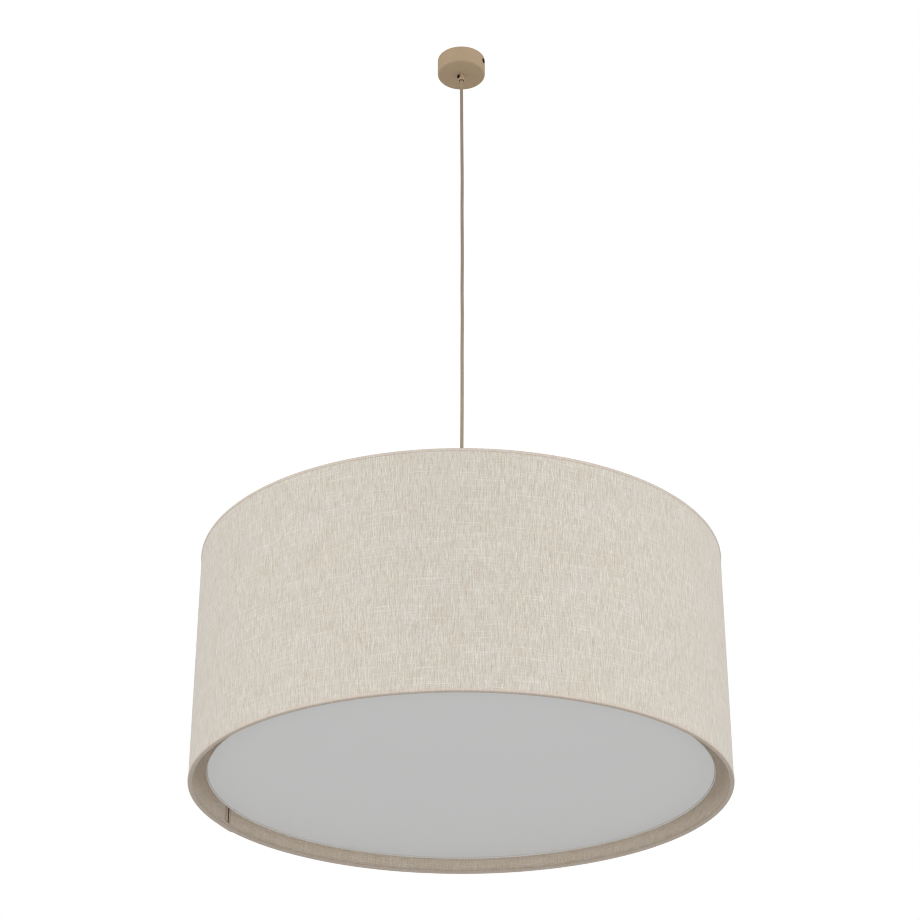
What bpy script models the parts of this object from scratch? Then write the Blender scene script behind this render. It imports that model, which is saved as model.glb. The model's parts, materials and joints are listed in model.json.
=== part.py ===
"""Drum pendant light: ceiling canopy, textile cord, fabric shade and recessed diffuser.

Lengths are in metres. The ceiling is the plane z = 0 and the lamp's axis is the Z axis.
The viewer stands on the -Y side.
"""
from math import cos, pi, radians, sin, sqrt

import bmesh
import bpy
from mathutils import Matrix, Vector


# Overall sizes
overall_drop = 1.348
shade_radius = 0.400
shade_height = 0.362
canopy_radius = 0.04125
canopy_height = 0.0326
cord_diameter = 0.0054

# Fits that several pieces share
seat_gap = 0.0003
thread_gap = 0.0003
cut_overrun = 0.002
weld_distance = 0.000001

# Facets of the round pieces
large_sides = 64
canopy_sides = 40
keeper_sides = 32
housing_sides = 24
medium_sides = 16
small_sides = 12
wire_sides = 8
ring_wire_sides = 6
quarter_steps = 2

# Ceiling canopy
canopy_ceiling_gap = 0.0005
canopy_wall = 0.0012
canopy_edge_radius = 0.0026

# Ceiling bracket, with its ceiling face at z = 0
screw_azimuth = radians(-21)
bracket_thickness = 0.0015
bracket_width = 0.016
bracket_side_clearance = 0.0012
leg_depth = 0.0175
slot_width = 0.005
slot_length = 0.011
slot_centre_share = 0.64
tab_width = 0.014
tab_reach = 0.021

# Crown of every screw head
screw_crown_share = 0.25

# Black canopy screws
canopy_screw_drop = 0.0112
canopy_screw_head_diameter = 0.0085
canopy_screw_head_height = 0.0008
canopy_screw_diameter = 0.004
canopy_screw_length = 0.011

# Earth screw under the bracket
earth_screw_place = -0.013
earth_screw_diameter = 0.004
earth_screw_head_diameter = 0.007
earth_screw_head_height = 0.0024

# Terminal block under the bracket's tab
block_width = 0.020
block_depth = 0.018
block_height = 0.013
block_reach = 0.020
block_edge = 0.0008
entry_diameter = 0.0032
entry_depth = 0.008
entry_place_share = 0.25
clamp_well_diameter = 0.0045
clamp_well_depth = 0.004
pole_groove_width = 0.0016
pole_groove_depth = 0.003

# Cord grip under the canopy
grip_diameter = 0.0114
grip_length = 0.0105
grip_chamfer = 0.0006
grip_mouth_diameter = 0.0086
grip_throat_diameter = 0.0064
stem_diameter = 0.0096
grip_stem_length = 0.0095
grip_screw_azimuth = radians(220)
grip_screw_drop = 0.0046
grip_screw_diameter = 0.003
grip_screw_head_diameter = 0.0062
grip_screw_head_height = 0.0016
nut_width = 0.014
nut_height = 0.003

# Places where the cord bends in the grip's mouth, measured up from the mouth
upper_bend_rise = 0.0055
lower_bend_rise = 0.001

# Cord and its cores
tail_rise = 0.002
core_diameter = 0.002
core_circle_diameter = 0.0027
core_point_step = 0.0022
cord_points = 30
cap_shares = (0.0, 0.35, 0.65, 0.85, 0.97)
core_foot_share = 0.2
core_bend_shares = (0.6, 0.35, 0.62)
core_front_share = 0.8
earth_bend_shares = (0.4, -0.7, 0.6)
earth_lead_share = -0.5
earth_end_share = 0.7

# Shade wall: fabric on a stiff liner, with a ring and a folded trim at each rim
fabric_thickness = 0.0007
liner_thickness = 0.0008
ring_wire_diameter = 0.0032
trim_thickness = 0.0006
trim_outer_height = 0.0045
trim_chamfer = 0.0004
bottom_trim_inner_height = 0.0046
top_trim_inner_height = 0.0020
seam_azimuth = radians(154.75)
seam_width = 0.014
seam_thickness = 0.0006
seam_end_clearance = 0.011

# Spider: a hub with four spokes that rise to the top ring
hub_drop = 0.024
hub_radius = 0.025
hub_height = 0.010
hub_chamfer = 0.001
spoke_azimuths = tuple(radians(45 + 90 * turn) for turn in range(4))
spoke_diameter = 0.005
spoke_socket_depth = 0.009
spoke_bend_radius = 0.014
spoke_rise_angle = radians(45)
spoke_bend_steps = 4

# Gland that holds the cord on the hub
gland_flange_diameter = 0.018
gland_flange_height = 0.004
gland_shoulder_diameter = 0.013
gland_shoulder_height = 0.0115
gland_tip_diameter = 0.0095
gland_height = 0.0155
gland_thread_overhang = 0.002
cord_end_overhang = 0.006

# Housing of the lamp cluster and its cover
housing_radius = 0.045
housing_height = 0.044
housing_wall = 0.0012
housing_edge_radius = 0.003
cover_thickness = 0.0012
spigot_height = 0.006
cover_screw_azimuth = radians(45)
cover_screw_diameter = 0.003
cover_screw_head_diameter = 0.0055
cover_screw_head_height = 0.0016
cover_screw_length = 0.005

# Lampholders for screw-cap lamps of 27 mm
holder_azimuths = tuple(radians(90 * turn) for turn in range(4))
holder_names = ("right", "back", "left", "front")
holder_length = 0.056
holder_radius = 0.020
holder_neck_radius = 0.008
holder_neck_length = 0.0035
holder_dome_length = 0.012
holder_belt_length = 0.022
holder_mouth_radius = 0.0178
holder_step = 0.0012
holder_floor_depth = 0.033
holder_floor_thickness = 0.0055
sleeve_outer_radius = 0.0144
sleeve_wall = 0.0007
sleeve_length = 0.029
sleeve_hole_radius = 0.009
contact_foot_radius = 0.006
contact_foot_height = 0.001
contact_tip_radius = 0.003
contact_tip_height = 0.0052
bolt_head_radius = 0.0078
bolt_head_height = 0.004
bolt_head_clearance = 0.0012
bolt_bore_radius = 0.0032

# Diffuser: a panel in an edge band, with a steel ring that four magnets hold
band_radius = 0.374
band_thickness = 0.0008
band_recess = 0.0175
band_lip = 0.0022
band_rise = 0.001
panel_thickness = 0.003
keeper_radius = 0.230
keeper_width = 0.024
keeper_thickness = 0.001
magnet_diameter = 0.015
magnet_height = 0.005

# Posts that carry the magnets
post_diameter = 0.005
post_head_diameter = 0.012
post_head_height = 0.012
post_taper = 0.0015
post_foot_diameter = 0.015
post_foot_height = 0.0015

# Heights that follow from the sizes above
bottom_rim = -overall_drop
top_rim = bottom_rim + shade_height
canopy_face = -canopy_height
grip_seat = canopy_face - seat_gap
grip_mouth = grip_seat - grip_length
upper_bend = grip_mouth + upper_bend_rise
lower_bend = grip_mouth + lower_bend_rise
tail_bottom = upper_bend + cord_diameter / 2 + seat_gap
grip_stem_top = canopy_face + grip_stem_length
tail_top = grip_stem_top + tail_rise
hub_centre = top_rim - hub_drop
hub_top = hub_centre + hub_height / 2
hub_bottom = hub_centre - hub_height / 2
housing_top = hub_bottom - seat_gap
housing_bottom = housing_top - housing_height
holder_centre = housing_top - housing_height / 2
housing_ceiling = housing_top - housing_wall
gland_nut_top = housing_ceiling - seat_gap
gland_stem_bottom = gland_nut_top - nut_height - gland_thread_overhang
cord_end = gland_stem_bottom - cord_end_overhang
band_bottom = bottom_rim + band_recess
panel_bottom = band_bottom + band_lip
panel_top = panel_bottom + panel_thickness
keeper_bottom = panel_top + seat_gap
magnet_bottom = keeper_bottom + keeper_thickness + seat_gap
post_bottom = magnet_bottom + magnet_height + seat_gap

# Radii that follow from the sizes above
liner_outer = shade_radius - fabric_thickness - seat_gap
liner_inner = liner_outer - liner_thickness
ring_radius = liner_inner - seat_gap - ring_wire_diameter / 2
trim_outer = shade_radius + seat_gap + trim_thickness
trim_inner = ring_radius - ring_wire_diameter / 2 - seat_gap - trim_thickness
cord_bore = cord_diameter / 2 + seat_gap
stem_bore = stem_diameter / 2 + thread_gap
holder_back = housing_radius + seat_gap
holder_mouth = holder_back + holder_length
holder_floor = holder_mouth - holder_floor_depth
sleeve_bore = sleeve_outer_radius + seat_gap
rod_bore = spoke_diameter / 2 + seat_gap

# Finishes as colour, roughness and metallic value
sand_paint = ((0.42, 0.33, 0.22), 0.55, 0.0)
black_steel = ((0.012, 0.011, 0.010), 0.45, 0.6)
zinc_steel = ((0.62, 0.62, 0.60), 0.35, 1.0)
bright_brass = ((0.72, 0.55, 0.24), 0.30, 1.0)
beige_textile = ((0.32, 0.26, 0.19), 0.9, 0.0)
linen = ((0.66, 0.61, 0.53), 0.9, 0.0)
taupe_liner = ((0.32, 0.26, 0.20), 0.85, 0.0)
white_lacquer = ((0.80, 0.80, 0.78), 0.4, 0.0)
opal_white = ((0.62, 0.62, 0.61), 0.5, 0.0)
cream_plastic = ((0.70, 0.66, 0.58), 0.5, 0.0)
white_ceramic = ((0.85, 0.84, 0.80), 0.3, 0.0)
brown_sleeve = ((0.16, 0.07, 0.03), 0.5, 0.0)
blue_sleeve = ((0.03, 0.10, 0.35), 0.5, 0.0)
green_sleeve = ((0.10, 0.35, 0.06), 0.5, 0.0)
dark_magnet = ((0.25, 0.25, 0.26), 0.3, 1.0)


def clear_scene():
    """Remove the objects of the scene that is open."""
    for item in list(bpy.data.objects):
        bpy.data.objects.remove(item, do_unlink=True)


def paint(piece, finish):
    """Give a piece its own Principled material."""
    colour, roughness, metallic = finish
    material = bpy.data.materials.new(piece.name + "_finish")
    material.use_nodes = True
    shader = material.node_tree.nodes["Principled BSDF"]
    shader.inputs["Base Color"].default_value = (*colour, 1.0)
    shader.inputs["Roughness"].default_value = roughness
    shader.inputs["Metallic"].default_value = metallic
    piece.data.materials.clear()
    piece.data.materials.append(material)


def add_piece(name, data, finish=None):
    """Put mesh or curve data in the scene as one named piece."""
    piece = bpy.data.objects.new(name, data)
    bpy.context.scene.collection.objects.link(piece)
    if finish:
        paint(piece, finish)
    return piece


def mesh_piece(name, work, finish=None):
    """Close a bmesh, turn its faces outward and make it a piece."""
    bmesh.ops.remove_doubles(work, verts=work.verts, dist=weld_distance)
    bmesh.ops.recalc_face_normals(work, faces=work.faces)
    if work.calc_volume(signed=True) < 0:
        bmesh.ops.reverse_faces(work, faces=work.faces)
    mesh = bpy.data.meshes.new(name)
    work.to_mesh(mesh)
    work.free()
    return add_piece(name, mesh, finish)


def shade_round(piece):
    """Shade the round faces smooth and keep the real edges sharp."""
    piece.data.shade_smooth()
    piece.data.set_sharp_from_angle(angle=radians(35))


def corner_radius(flat_radius, sides):
    """Radius of the corners of a polygon whose flats lie at flat_radius."""
    return flat_radius / cos(pi / sides)


def arc(centre, radius, start, end, steps):
    """Points of an arc in an outline, with both its ends."""
    points = []
    for step in range(steps + 1):
        angle = start + (end - start) * step / steps
        points.append((centre[0] + radius * cos(angle), centre[1] + radius * sin(angle)))
    return points


def turned(name, outline, sides, finish=None, ring=True):
    """Turn an outline of (radius, height) points about Z.

    A ring outline closes on itself, any other starts and ends on the axis.
    """
    work = bmesh.new()
    corners = [work.verts.new((radius, 0, height)) for radius, height in outline]
    pairs = list(zip(corners, corners[1:]))
    if ring:
        pairs.append((corners[-1], corners[0]))
    edges = [work.edges.new(pair) for pair in pairs]
    bmesh.ops.spin(work, geom=corners + edges, cent=(0, 0, 0), axis=(0, 0, 1),
                   angle=2 * pi, steps=sides, use_merge=True)
    piece = mesh_piece(name, work, finish)
    shade_round(piece)
    return piece


def extruded(name, outline, low, high, finish=None):
    """Extrude a flat (x, y) outline from one height to another."""
    work = bmesh.new()
    floor = work.faces.new([work.verts.new((x, y, low)) for x, y in outline])
    lifted = bmesh.ops.extrude_face_region(work, geom=[floor])["geom"]
    tops = [item for item in lifted if isinstance(item, bmesh.types.BMVert)]
    bmesh.ops.translate(work, verts=tops, vec=(0, 0, high - low))
    return mesh_piece(name, work, finish)


def block(name, low, high, finish=None):
    """A box between two corners."""
    outline = ((low[0], low[1]), (high[0], low[1]), (high[0], high[1]), (low[0], high[1]))
    return extruded(name, outline, low[2], high[2], finish)


def cylinder(name, radius, low, high, sides, finish=None):
    """A plain cylinder on the Z axis."""
    piece = turned(name, ((0, low), (radius, low), (radius, high), (0, high)), sides,
                   finish, ring=False)
    return piece


def tube(name, points, diameter, finish, shares=None):
    """A round wire or cord through a list of points, with closed ends."""
    curve = bpy.data.curves.new(name, "CURVE")
    curve.dimensions = "3D"
    curve.bevel_depth = diameter / 2
    curve.bevel_resolution = 2
    curve.use_fill_caps = True
    curve.render_resolution_u = 0
    spline = curve.splines.new("POLY")
    spline.points.add(len(points) - 1)
    for index, place in enumerate(points):
        spline.points[index].co = (*place, 1)
        spline.points[index].radius = shares[index] if shares else 1
    return add_piece(name, curve, finish)


def smooth_route(places, step):
    """Points along a smooth curve through the places of a route."""
    ends = [2 * places[0] - places[1]] + list(places) + [2 * places[-1] - places[-2]]
    points = []
    for before, start, end, after in zip(ends, ends[1:], ends[2:], ends[3:]):
        pieces = max(1, round((end - start).length / step))
        for count in range(pieces):
            part = count / pieces
            points.append(0.5 * (2 * start + (end - before) * part
                                 + (2 * before - 5 * start + 4 * end - after) * part ** 2
                                 + (3 * start - before - 3 * end + after) * part ** 3))
    points.append(places[-1])
    return points


def combine(piece, tool, operation):
    """Cut a tool out of a piece, or join it on, and remove the tool."""
    modifier = piece.modifiers.new(operation.lower(), "BOOLEAN")
    modifier.operation = operation
    modifier.solver = "EXACT"
    modifier.object = tool
    graph = bpy.context.evaluated_depsgraph_get()
    shaped = bpy.data.meshes.new_from_object(piece.evaluated_get(graph))
    piece.modifiers.clear()
    plain = piece.data
    piece.data = shaped
    bpy.data.meshes.remove(plain)
    bpy.data.objects.remove(tool, do_unlink=True)


def cut(piece, tool):
    """Cut a tool's shape out of a piece."""
    combine(piece, tool, "DIFFERENCE")


def turn_to(piece, azimuth, height):
    """Lay a piece that was made on the Z axis along a radial line at a height."""
    turn = Matrix.Rotation(azimuth, 4, "Z") @ Matrix.Rotation(pi / 2, 4, "Y")
    piece.matrix_world = Matrix.Translation((0, 0, height)) @ turn


def radial_drill(name, radius, start, end, azimuth, height, sides=small_sides):
    """A round cutter along a radial line, with its flats at the stated radius."""
    drill = cylinder(name, corner_radius(radius, sides), start, end, sides)
    turn_to(drill, azimuth, height)
    return drill


def screw(name, shank_diameter, head_diameter, head_height, length, finish):
    """A screw on the Z axis: its head stands above z = 0 and its shank goes down."""
    shank = shank_diameter / 2
    head = head_diameter / 2
    crown = screw_crown_share * head_height
    outline = ((0, -length), (shank, -length), (shank, 0), (head, 0),
               (head, head_height - crown), (head - crown, head_height), (0, head_height))
    return turned(name, outline, small_sides, finish, ring=False)


def nut(name, low, finish):
    """A hexagon nut on the Z axis, bored for the threaded stems."""
    piece = cylinder(name, corner_radius(nut_width / 2, 6), low, low + nut_height, 6, finish)
    piece.data.shade_flat()
    drill = cylinder("nut_bore", corner_radius(stem_bore, medium_sides), low - cut_overrun,
                     low + nut_height + cut_overrun, medium_sides)
    cut(piece, drill)
    return piece


def cord_dome(height):
    """Points and radius shares of a cord's round end, from the bend up to its tip."""
    radius = cord_diameter / 2
    points = [(0, 0, height + share * radius) for share in cap_shares]
    shares = [sqrt(1 - share ** 2) for share in cap_shares]
    return points, shares


# Ceiling part

def make_canopy():
    """A thin drawn cup with a round bottom edge, a centre hole and two side holes."""
    outer = canopy_radius
    inner = canopy_radius - canopy_wall
    rim = -canopy_ceiling_gap
    floor = canopy_face + canopy_wall
    edge = canopy_edge_radius
    centre = (outer - edge, canopy_face + edge)
    hole = corner_radius(stem_bore, canopy_sides)
    outline = [(hole, floor), (hole, canopy_face)]
    outline += arc(centre, edge, -pi / 2, 0, quarter_steps + 1)
    outline += [(outer, rim), (inner, rim)]
    outline += arc(centre, edge - canopy_wall, 0, -pi / 2, quarter_steps)
    canopy = turned("ceiling_canopy", outline, canopy_sides, sand_paint)
    for azimuth in (screw_azimuth, screw_azimuth + pi):
        cut(canopy, radial_drill("canopy_hole", canopy_screw_diameter / 2 + seat_gap,
                                 inner - cut_overrun, outer + cut_overrun, azimuth,
                                 -canopy_screw_drop))
    return canopy


def make_bracket():
    """A pressed strap with two legs for the canopy screws and a tab for the terminals."""
    half_width = bracket_width / 2
    reach = sqrt((canopy_radius - canopy_wall) ** 2 - half_width ** 2) - bracket_side_clearance
    thickness = bracket_thickness
    plan = ((-reach, -half_width), (reach, -half_width), (reach, half_width),
            (tab_width / 2, half_width), (tab_width / 2, tab_reach),
            (-tab_width / 2, tab_reach), (-tab_width / 2, half_width), (-reach, half_width))
    bracket = extruded("ceiling_bracket", plan, -thickness, 0, zinc_steel)
    for side in (-1, 1):
        ends = sorted((side * reach, side * (reach - thickness)))
        leg = block("leg", (ends[0], -half_width, -leg_depth), (ends[1], half_width, 0))
        combine(bracket, leg, "UNION")
    for side in (-1, 1):
        middle = side * slot_centre_share * reach
        ends = arc((middle + slot_length / 2 - slot_width / 2, 0), slot_width / 2,
                   -pi / 2, pi / 2, 2 * quarter_steps)
        ends += arc((middle - slot_length / 2 + slot_width / 2, 0), slot_width / 2,
                    pi / 2, 3 * pi / 2, 2 * quarter_steps)
        cut(bracket, extruded("slot", ends, -thickness - cut_overrun, cut_overrun))
        drill = radial_drill("leg_hole", canopy_screw_diameter / 2 + seat_gap,
                             reach - thickness - cut_overrun, reach + cut_overrun,
                             (1 - side) * pi / 2, -canopy_screw_drop)
        cut(bracket, drill)
    earth_hole = cylinder("earth_hole", corner_radius(earth_screw_diameter / 2 + seat_gap,
                                                      small_sides),
                          -thickness - cut_overrun, cut_overrun, small_sides)
    earth_hole.location.x = earth_screw_place
    cut(bracket, earth_hole)
    return bracket


def make_terminal_block():
    """A moulded two-pole block with wire entries, clamp wells and a groove between poles."""
    half = block_width / 2
    front = block_reach - block_depth / 2
    back = block_reach + block_depth / 2
    top = -bracket_thickness - seat_gap
    bottom = top - block_height
    edge = block_edge
    outline = ((-half + edge, front), (half - edge, front), (half, front + edge),
               (half, back - edge), (half - edge, back), (-half + edge, back),
               (-half, back - edge), (-half, front + edge))
    body = extruded("terminal_block", outline, bottom, top, cream_plastic)
    groove = block("groove", (-pole_groove_width / 2, front - cut_overrun,
                              bottom - cut_overrun),
                   (pole_groove_width / 2, back + cut_overrun, bottom + pole_groove_depth))
    cut(body, groove)
    for side in (-1, 1):
        place = side * entry_place_share * block_width
        entry = cylinder("entry", entry_diameter / 2, front - cut_overrun,
                         front + entry_depth, wire_sides)
        entry.matrix_world = (Matrix.Translation((place, 0, entry_height()))
                              @ Matrix.Rotation(-pi / 2, 4, "X"))
        cut(body, entry)
        well = cylinder("well", clamp_well_diameter / 2, bottom - cut_overrun,
                        bottom + clamp_well_depth, wire_sides)
        well.location = (place, block_reach, 0)
        cut(body, well)
    return body


def entry_height():
    """Height of the wire entries, halfway up the terminal block."""
    return -bracket_thickness - seat_gap - block_height / 2


def make_earth_screw():
    """The screw under the bracket that clamps the earth core."""
    earth_screw = screw("earth_screw", earth_screw_diameter, earth_screw_head_diameter,
                        earth_screw_head_height, bracket_thickness, zinc_steel)
    down = Matrix.Rotation(pi, 4, "X")
    earth_screw.matrix_world = (
        Matrix.Translation((earth_screw_place, 0, -bracket_thickness - seat_gap)) @ down)
    return earth_screw


def make_cores():
    """The three cores from the end of the cord to their terminals."""
    start = tail_top + seat_gap
    rise = entry_height() - start
    radius = core_circle_diameter / 2
    front = block_reach - block_depth / 2
    cores = []
    for name, side, finish in (("live_core", -1, brown_sleeve), ("neutral_core", 1, blue_sleeve)):
        entry = side * entry_place_share * block_width
        foot = Vector((side * radius * cos(pi / 6), radius * sin(pi / 6), start))
        places = (foot,
                  foot + Vector((0, 0, core_foot_share * rise)),
                  Vector((core_bend_shares[0] * entry, core_bend_shares[1] * front,
                          start + core_bend_shares[2] * rise)),
                  Vector((entry, core_front_share * front, start + rise)),
                  Vector((entry, front + entry_depth / 2, start + rise)))
        cores.append(tube(name, smooth_route(places, core_point_step), core_diameter, finish))
    foot = Vector((0, -radius, start))
    collar = earth_screw_place + earth_screw_head_diameter / 2 + core_diameter / 2 + seat_gap
    height = -bracket_thickness - core_diameter
    places = (foot,
              foot + Vector((0, 0, core_foot_share * rise)),
              Vector((earth_bend_shares[0] * collar, earth_bend_shares[1] * core_diameter,
                      start + earth_bend_shares[2] * rise)),
              Vector((collar, earth_lead_share * core_diameter, height - core_diameter)),
              Vector((collar, earth_end_share * core_diameter, height)))
    cores.append(tube("earth_core", smooth_route(places, core_point_step), core_diameter,
                      green_sleeve))
    return cores


def make_grip():
    """The cord grip: a turned sleeve with a flared mouth and a threaded stem."""
    outer = grip_diameter / 2
    mouth = corner_radius(grip_mouth_diameter / 2, medium_sides)
    throat = corner_radius(grip_throat_diameter / 2, medium_sides)
    bore = corner_radius(cord_bore, medium_sides)
    outline = ((mouth, grip_mouth), (outer - grip_chamfer, grip_mouth),
               (outer, grip_mouth + grip_chamfer), (outer, grip_seat),
               (stem_diameter / 2, grip_seat), (stem_diameter / 2, grip_stem_top),
               (bore, grip_stem_top), (bore, tail_bottom), (throat, upper_bend))
    grip = turned("cord_grip", outline, medium_sides, sand_paint)
    cut(grip, radial_drill("grip_hole", grip_screw_diameter / 2 + seat_gap, 0,
                           outer + cut_overrun, grip_screw_azimuth,
                           canopy_face - grip_screw_drop, wire_sides))
    return grip


def make_grip_screw():
    """The black screw in the side of the grip."""
    wall = (grip_diameter - grip_throat_diameter) / 2
    grip_screw = screw("grip_screw", grip_screw_diameter, grip_screw_head_diameter,
                       grip_screw_head_height, wall, black_steel)
    turn = (Matrix.Rotation(grip_screw_azimuth, 4, "Z")
            @ Matrix.Translation((grip_diameter / 2 + seat_gap, 0, 0))
            @ Matrix.Rotation(pi / 2, 4, "Y"))
    grip_screw.matrix_world = (
        Matrix.Translation((0, 0, canopy_face - grip_screw_drop)) @ turn)
    return grip_screw


def make_canopy_screws():
    """The two black screws through the canopy's side into the bracket's legs."""
    screws = []
    for name, azimuth in (("canopy_screw_right", screw_azimuth),
                          ("canopy_screw_left", screw_azimuth + pi)):
        piece = screw(name, canopy_screw_diameter, canopy_screw_head_diameter,
                      canopy_screw_head_height, canopy_screw_length, black_steel)
        turn = (Matrix.Rotation(azimuth, 4, "Z")
                @ Matrix.Translation((canopy_radius + seat_gap, 0, 0))
                @ Matrix.Rotation(pi / 2, 4, "Y"))
        piece.matrix_world = Matrix.Translation((0, 0, -canopy_screw_drop)) @ turn
        screws.append(piece)
    return screws


def make_ceiling_part():
    """All that stays on the ceiling. The bracket and its terminals turn with the screws."""
    anchor = add_empty("ceiling_part", (0, 0, 0))
    turned_frame = add_empty("bracket_frame", (0, 0, 0), anchor)
    turned_frame.rotation_euler.z = screw_azimuth
    for piece in (make_bracket(), make_terminal_block(), make_earth_screw(), *make_cores()):
        piece.parent = turned_frame
    tail = cylinder("cord_tail", cord_diameter / 2, tail_bottom, tail_top, medium_sides,
                    beige_textile)
    grip_nut = nut("grip_nut", canopy_face + canopy_wall + seat_gap, zinc_steel)
    for piece in (make_canopy(), make_grip(), make_grip_screw(), tail, grip_nut,
                  *make_canopy_screws()):
        piece.parent = anchor


# Hanging cord

def make_cord_bend():
    """The short stretch of cord in the grip's mouth that bends about the X axis."""
    points, shares = cord_dome(upper_bend)
    foot = lower_bend + cord_diameter / 2 + seat_gap
    return tube("cord_bend", [(0, 0, foot)] + points, cord_diameter, beige_textile,
                [1] + shares)


def make_power_cord():
    """The cord from the grip's mouth down into the lamp housing."""
    points, shares = cord_dome(lower_bend)
    length = lower_bend - cord_end
    straight = [(0, 0, cord_end + length * step / cord_points) for step in range(cord_points)]
    return tube("power_cord", straight + points, cord_diameter, beige_textile,
                [1] * cord_points + shares)


# Shade

def make_trim(name, rim, up, inner_height):
    """The folded trim over a rim: an outer leg, a web and a shorter inner leg.

    up is 1 at the bottom rim and -1 at the top rim.
    """
    outer = trim_outer
    inner = trim_inner
    wall = trim_thickness
    chamfer = trim_chamfer
    outline = ((outer, trim_outer_height), (outer, chamfer), (outer - chamfer, 0),
               (inner, 0), (inner, inner_height),
               (inner + wall, inner_height), (inner + wall, wall), (outer - wall, wall),
               (outer - wall, trim_outer_height))
    placed = [(radius, rim + up * height) for radius, height in outline]
    return turned(name, placed, large_sides, linen)


def make_ring(name, rim, up):
    """A round wire ring inside the trim."""
    radius = ring_wire_diameter / 2
    height = rim + up * (trim_thickness + seat_gap + radius)
    start = pi / ring_wire_sides
    outline = arc((ring_radius, height), radius, start, start + 2 * pi,
                  ring_wire_sides)[:-1]
    return turned(name, outline, large_sides, white_lacquer)


def make_wall(name, outer, thickness, finish):
    """A thin straight cylinder between the two trims."""
    low = bottom_rim + trim_thickness + seat_gap
    high = top_rim - trim_thickness - seat_gap
    outline = ((outer - thickness, low), (outer, low), (outer, high), (outer - thickness, high))
    return turned(name, outline, large_sides, finish)


def make_seam():
    """The strip that covers the seam inside the liner."""
    outer = liner_inner * cos(pi / large_sides) - seat_gap
    strip = block("shade_seam", (outer - seam_thickness, -seam_width / 2,
                                 bottom_rim + seam_end_clearance),
                  (outer, seam_width / 2, top_rim - seam_end_clearance), taupe_liner)
    strip.rotation_euler.z = seam_azimuth
    return strip


def spoke_route():
    """Radius and height of the spoke's centre line, from the hub to the top ring."""
    ring_height = top_rim - trim_thickness - seat_gap - ring_wire_diameter / 2
    stand_off = ring_wire_diameter / 2 + seat_gap
    end = Vector((ring_radius - stand_off * cos(spoke_rise_angle),
                  ring_height - stand_off * sin(spoke_rise_angle)))
    slant = Vector((cos(spoke_rise_angle), sin(spoke_rise_angle)))
    corner = end - slant * (end.y - hub_centre) / slant.y
    setback = spoke_bend_radius * sin(spoke_rise_angle) / (1 + cos(spoke_rise_angle))
    centre = (corner.x - setback, hub_centre + spoke_bend_radius)
    start = hub_radius - spoke_socket_depth + seat_gap
    bend = arc(centre, spoke_bend_radius, -pi / 2, -pi / 2 + spoke_rise_angle,
               spoke_bend_steps)
    return [(start, hub_centre)] + bend + [tuple(end)]


def make_spider():
    """The hub with its radial sockets and the four spokes seated in them."""
    hole = corner_radius(stem_bore, housing_sides)
    edge = hub_chamfer
    outline = ((hole, hub_bottom), (hub_radius - edge, hub_bottom),
               (hub_radius, hub_bottom + edge), (hub_radius, hub_top - edge),
               (hub_radius - edge, hub_top), (hole, hub_top))
    hub = turned("spider_hub", outline, housing_sides, white_lacquer)
    pieces = [hub]
    for number, azimuth in enumerate(spoke_azimuths, 1):
        cut(hub, radial_drill("hub_socket", rod_bore, hub_radius - spoke_socket_depth,
                              hub_radius + cut_overrun, azimuth, hub_centre))
        points = [(radius * cos(azimuth), radius * sin(azimuth), height)
                  for radius, height in spoke_route()]
        pieces.append(tube("spoke_%d" % number, points, spoke_diameter, white_lacquer))
    return pieces


def make_gland():
    """The gland on the hub that holds the cord, with its stem down into the housing."""
    bore = corner_radius(cord_bore, medium_sides)
    seat = hub_top + seat_gap
    outline = ((bore, gland_stem_bottom), (stem_diameter / 2, gland_stem_bottom),
               (stem_diameter / 2, seat), (gland_flange_diameter / 2, seat),
               (gland_flange_diameter / 2, seat + gland_flange_height),
               (gland_shoulder_diameter / 2, seat + gland_flange_height),
               (gland_shoulder_diameter / 2, seat + gland_shoulder_height),
               (gland_tip_diameter / 2, seat + gland_height), (bore, seat + gland_height))
    return turned("hub_gland", outline, medium_sides, white_lacquer)


def make_housing():
    """The drawn cup that carries the lampholders, closed below by its cover."""
    outer = housing_radius
    edge = housing_edge_radius
    centre = (outer - edge, housing_top - edge)
    hole = corner_radius(stem_bore, housing_sides)
    outline = [(outer - housing_wall, housing_bottom), (outer, housing_bottom)]
    outline += arc(centre, edge, 0, pi / 2, quarter_steps)
    outline += [(hole, housing_top), (hole, housing_ceiling)]
    outline += arc(centre, edge - housing_wall, pi / 2, 0, quarter_steps)
    housing = turned("lamp_housing", outline, housing_sides, white_lacquer)
    for azimuth in holder_azimuths:
        cut(housing, radial_drill("holder_hole", stem_bore,
                                  outer - housing_wall - cut_overrun,
                                  outer + cut_overrun, azimuth, holder_centre))
    cut(housing, radial_drill("cover_hole", cover_screw_diameter / 2 + seat_gap,
                              outer - housing_wall - cut_overrun, outer + cut_overrun,
                              cover_screw_azimuth, cover_screw_height()))
    return housing


def cover_screw_height():
    """Height of the cover's screw, halfway up the spigot."""
    return housing_bottom - seat_gap + spigot_height / 2


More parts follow.
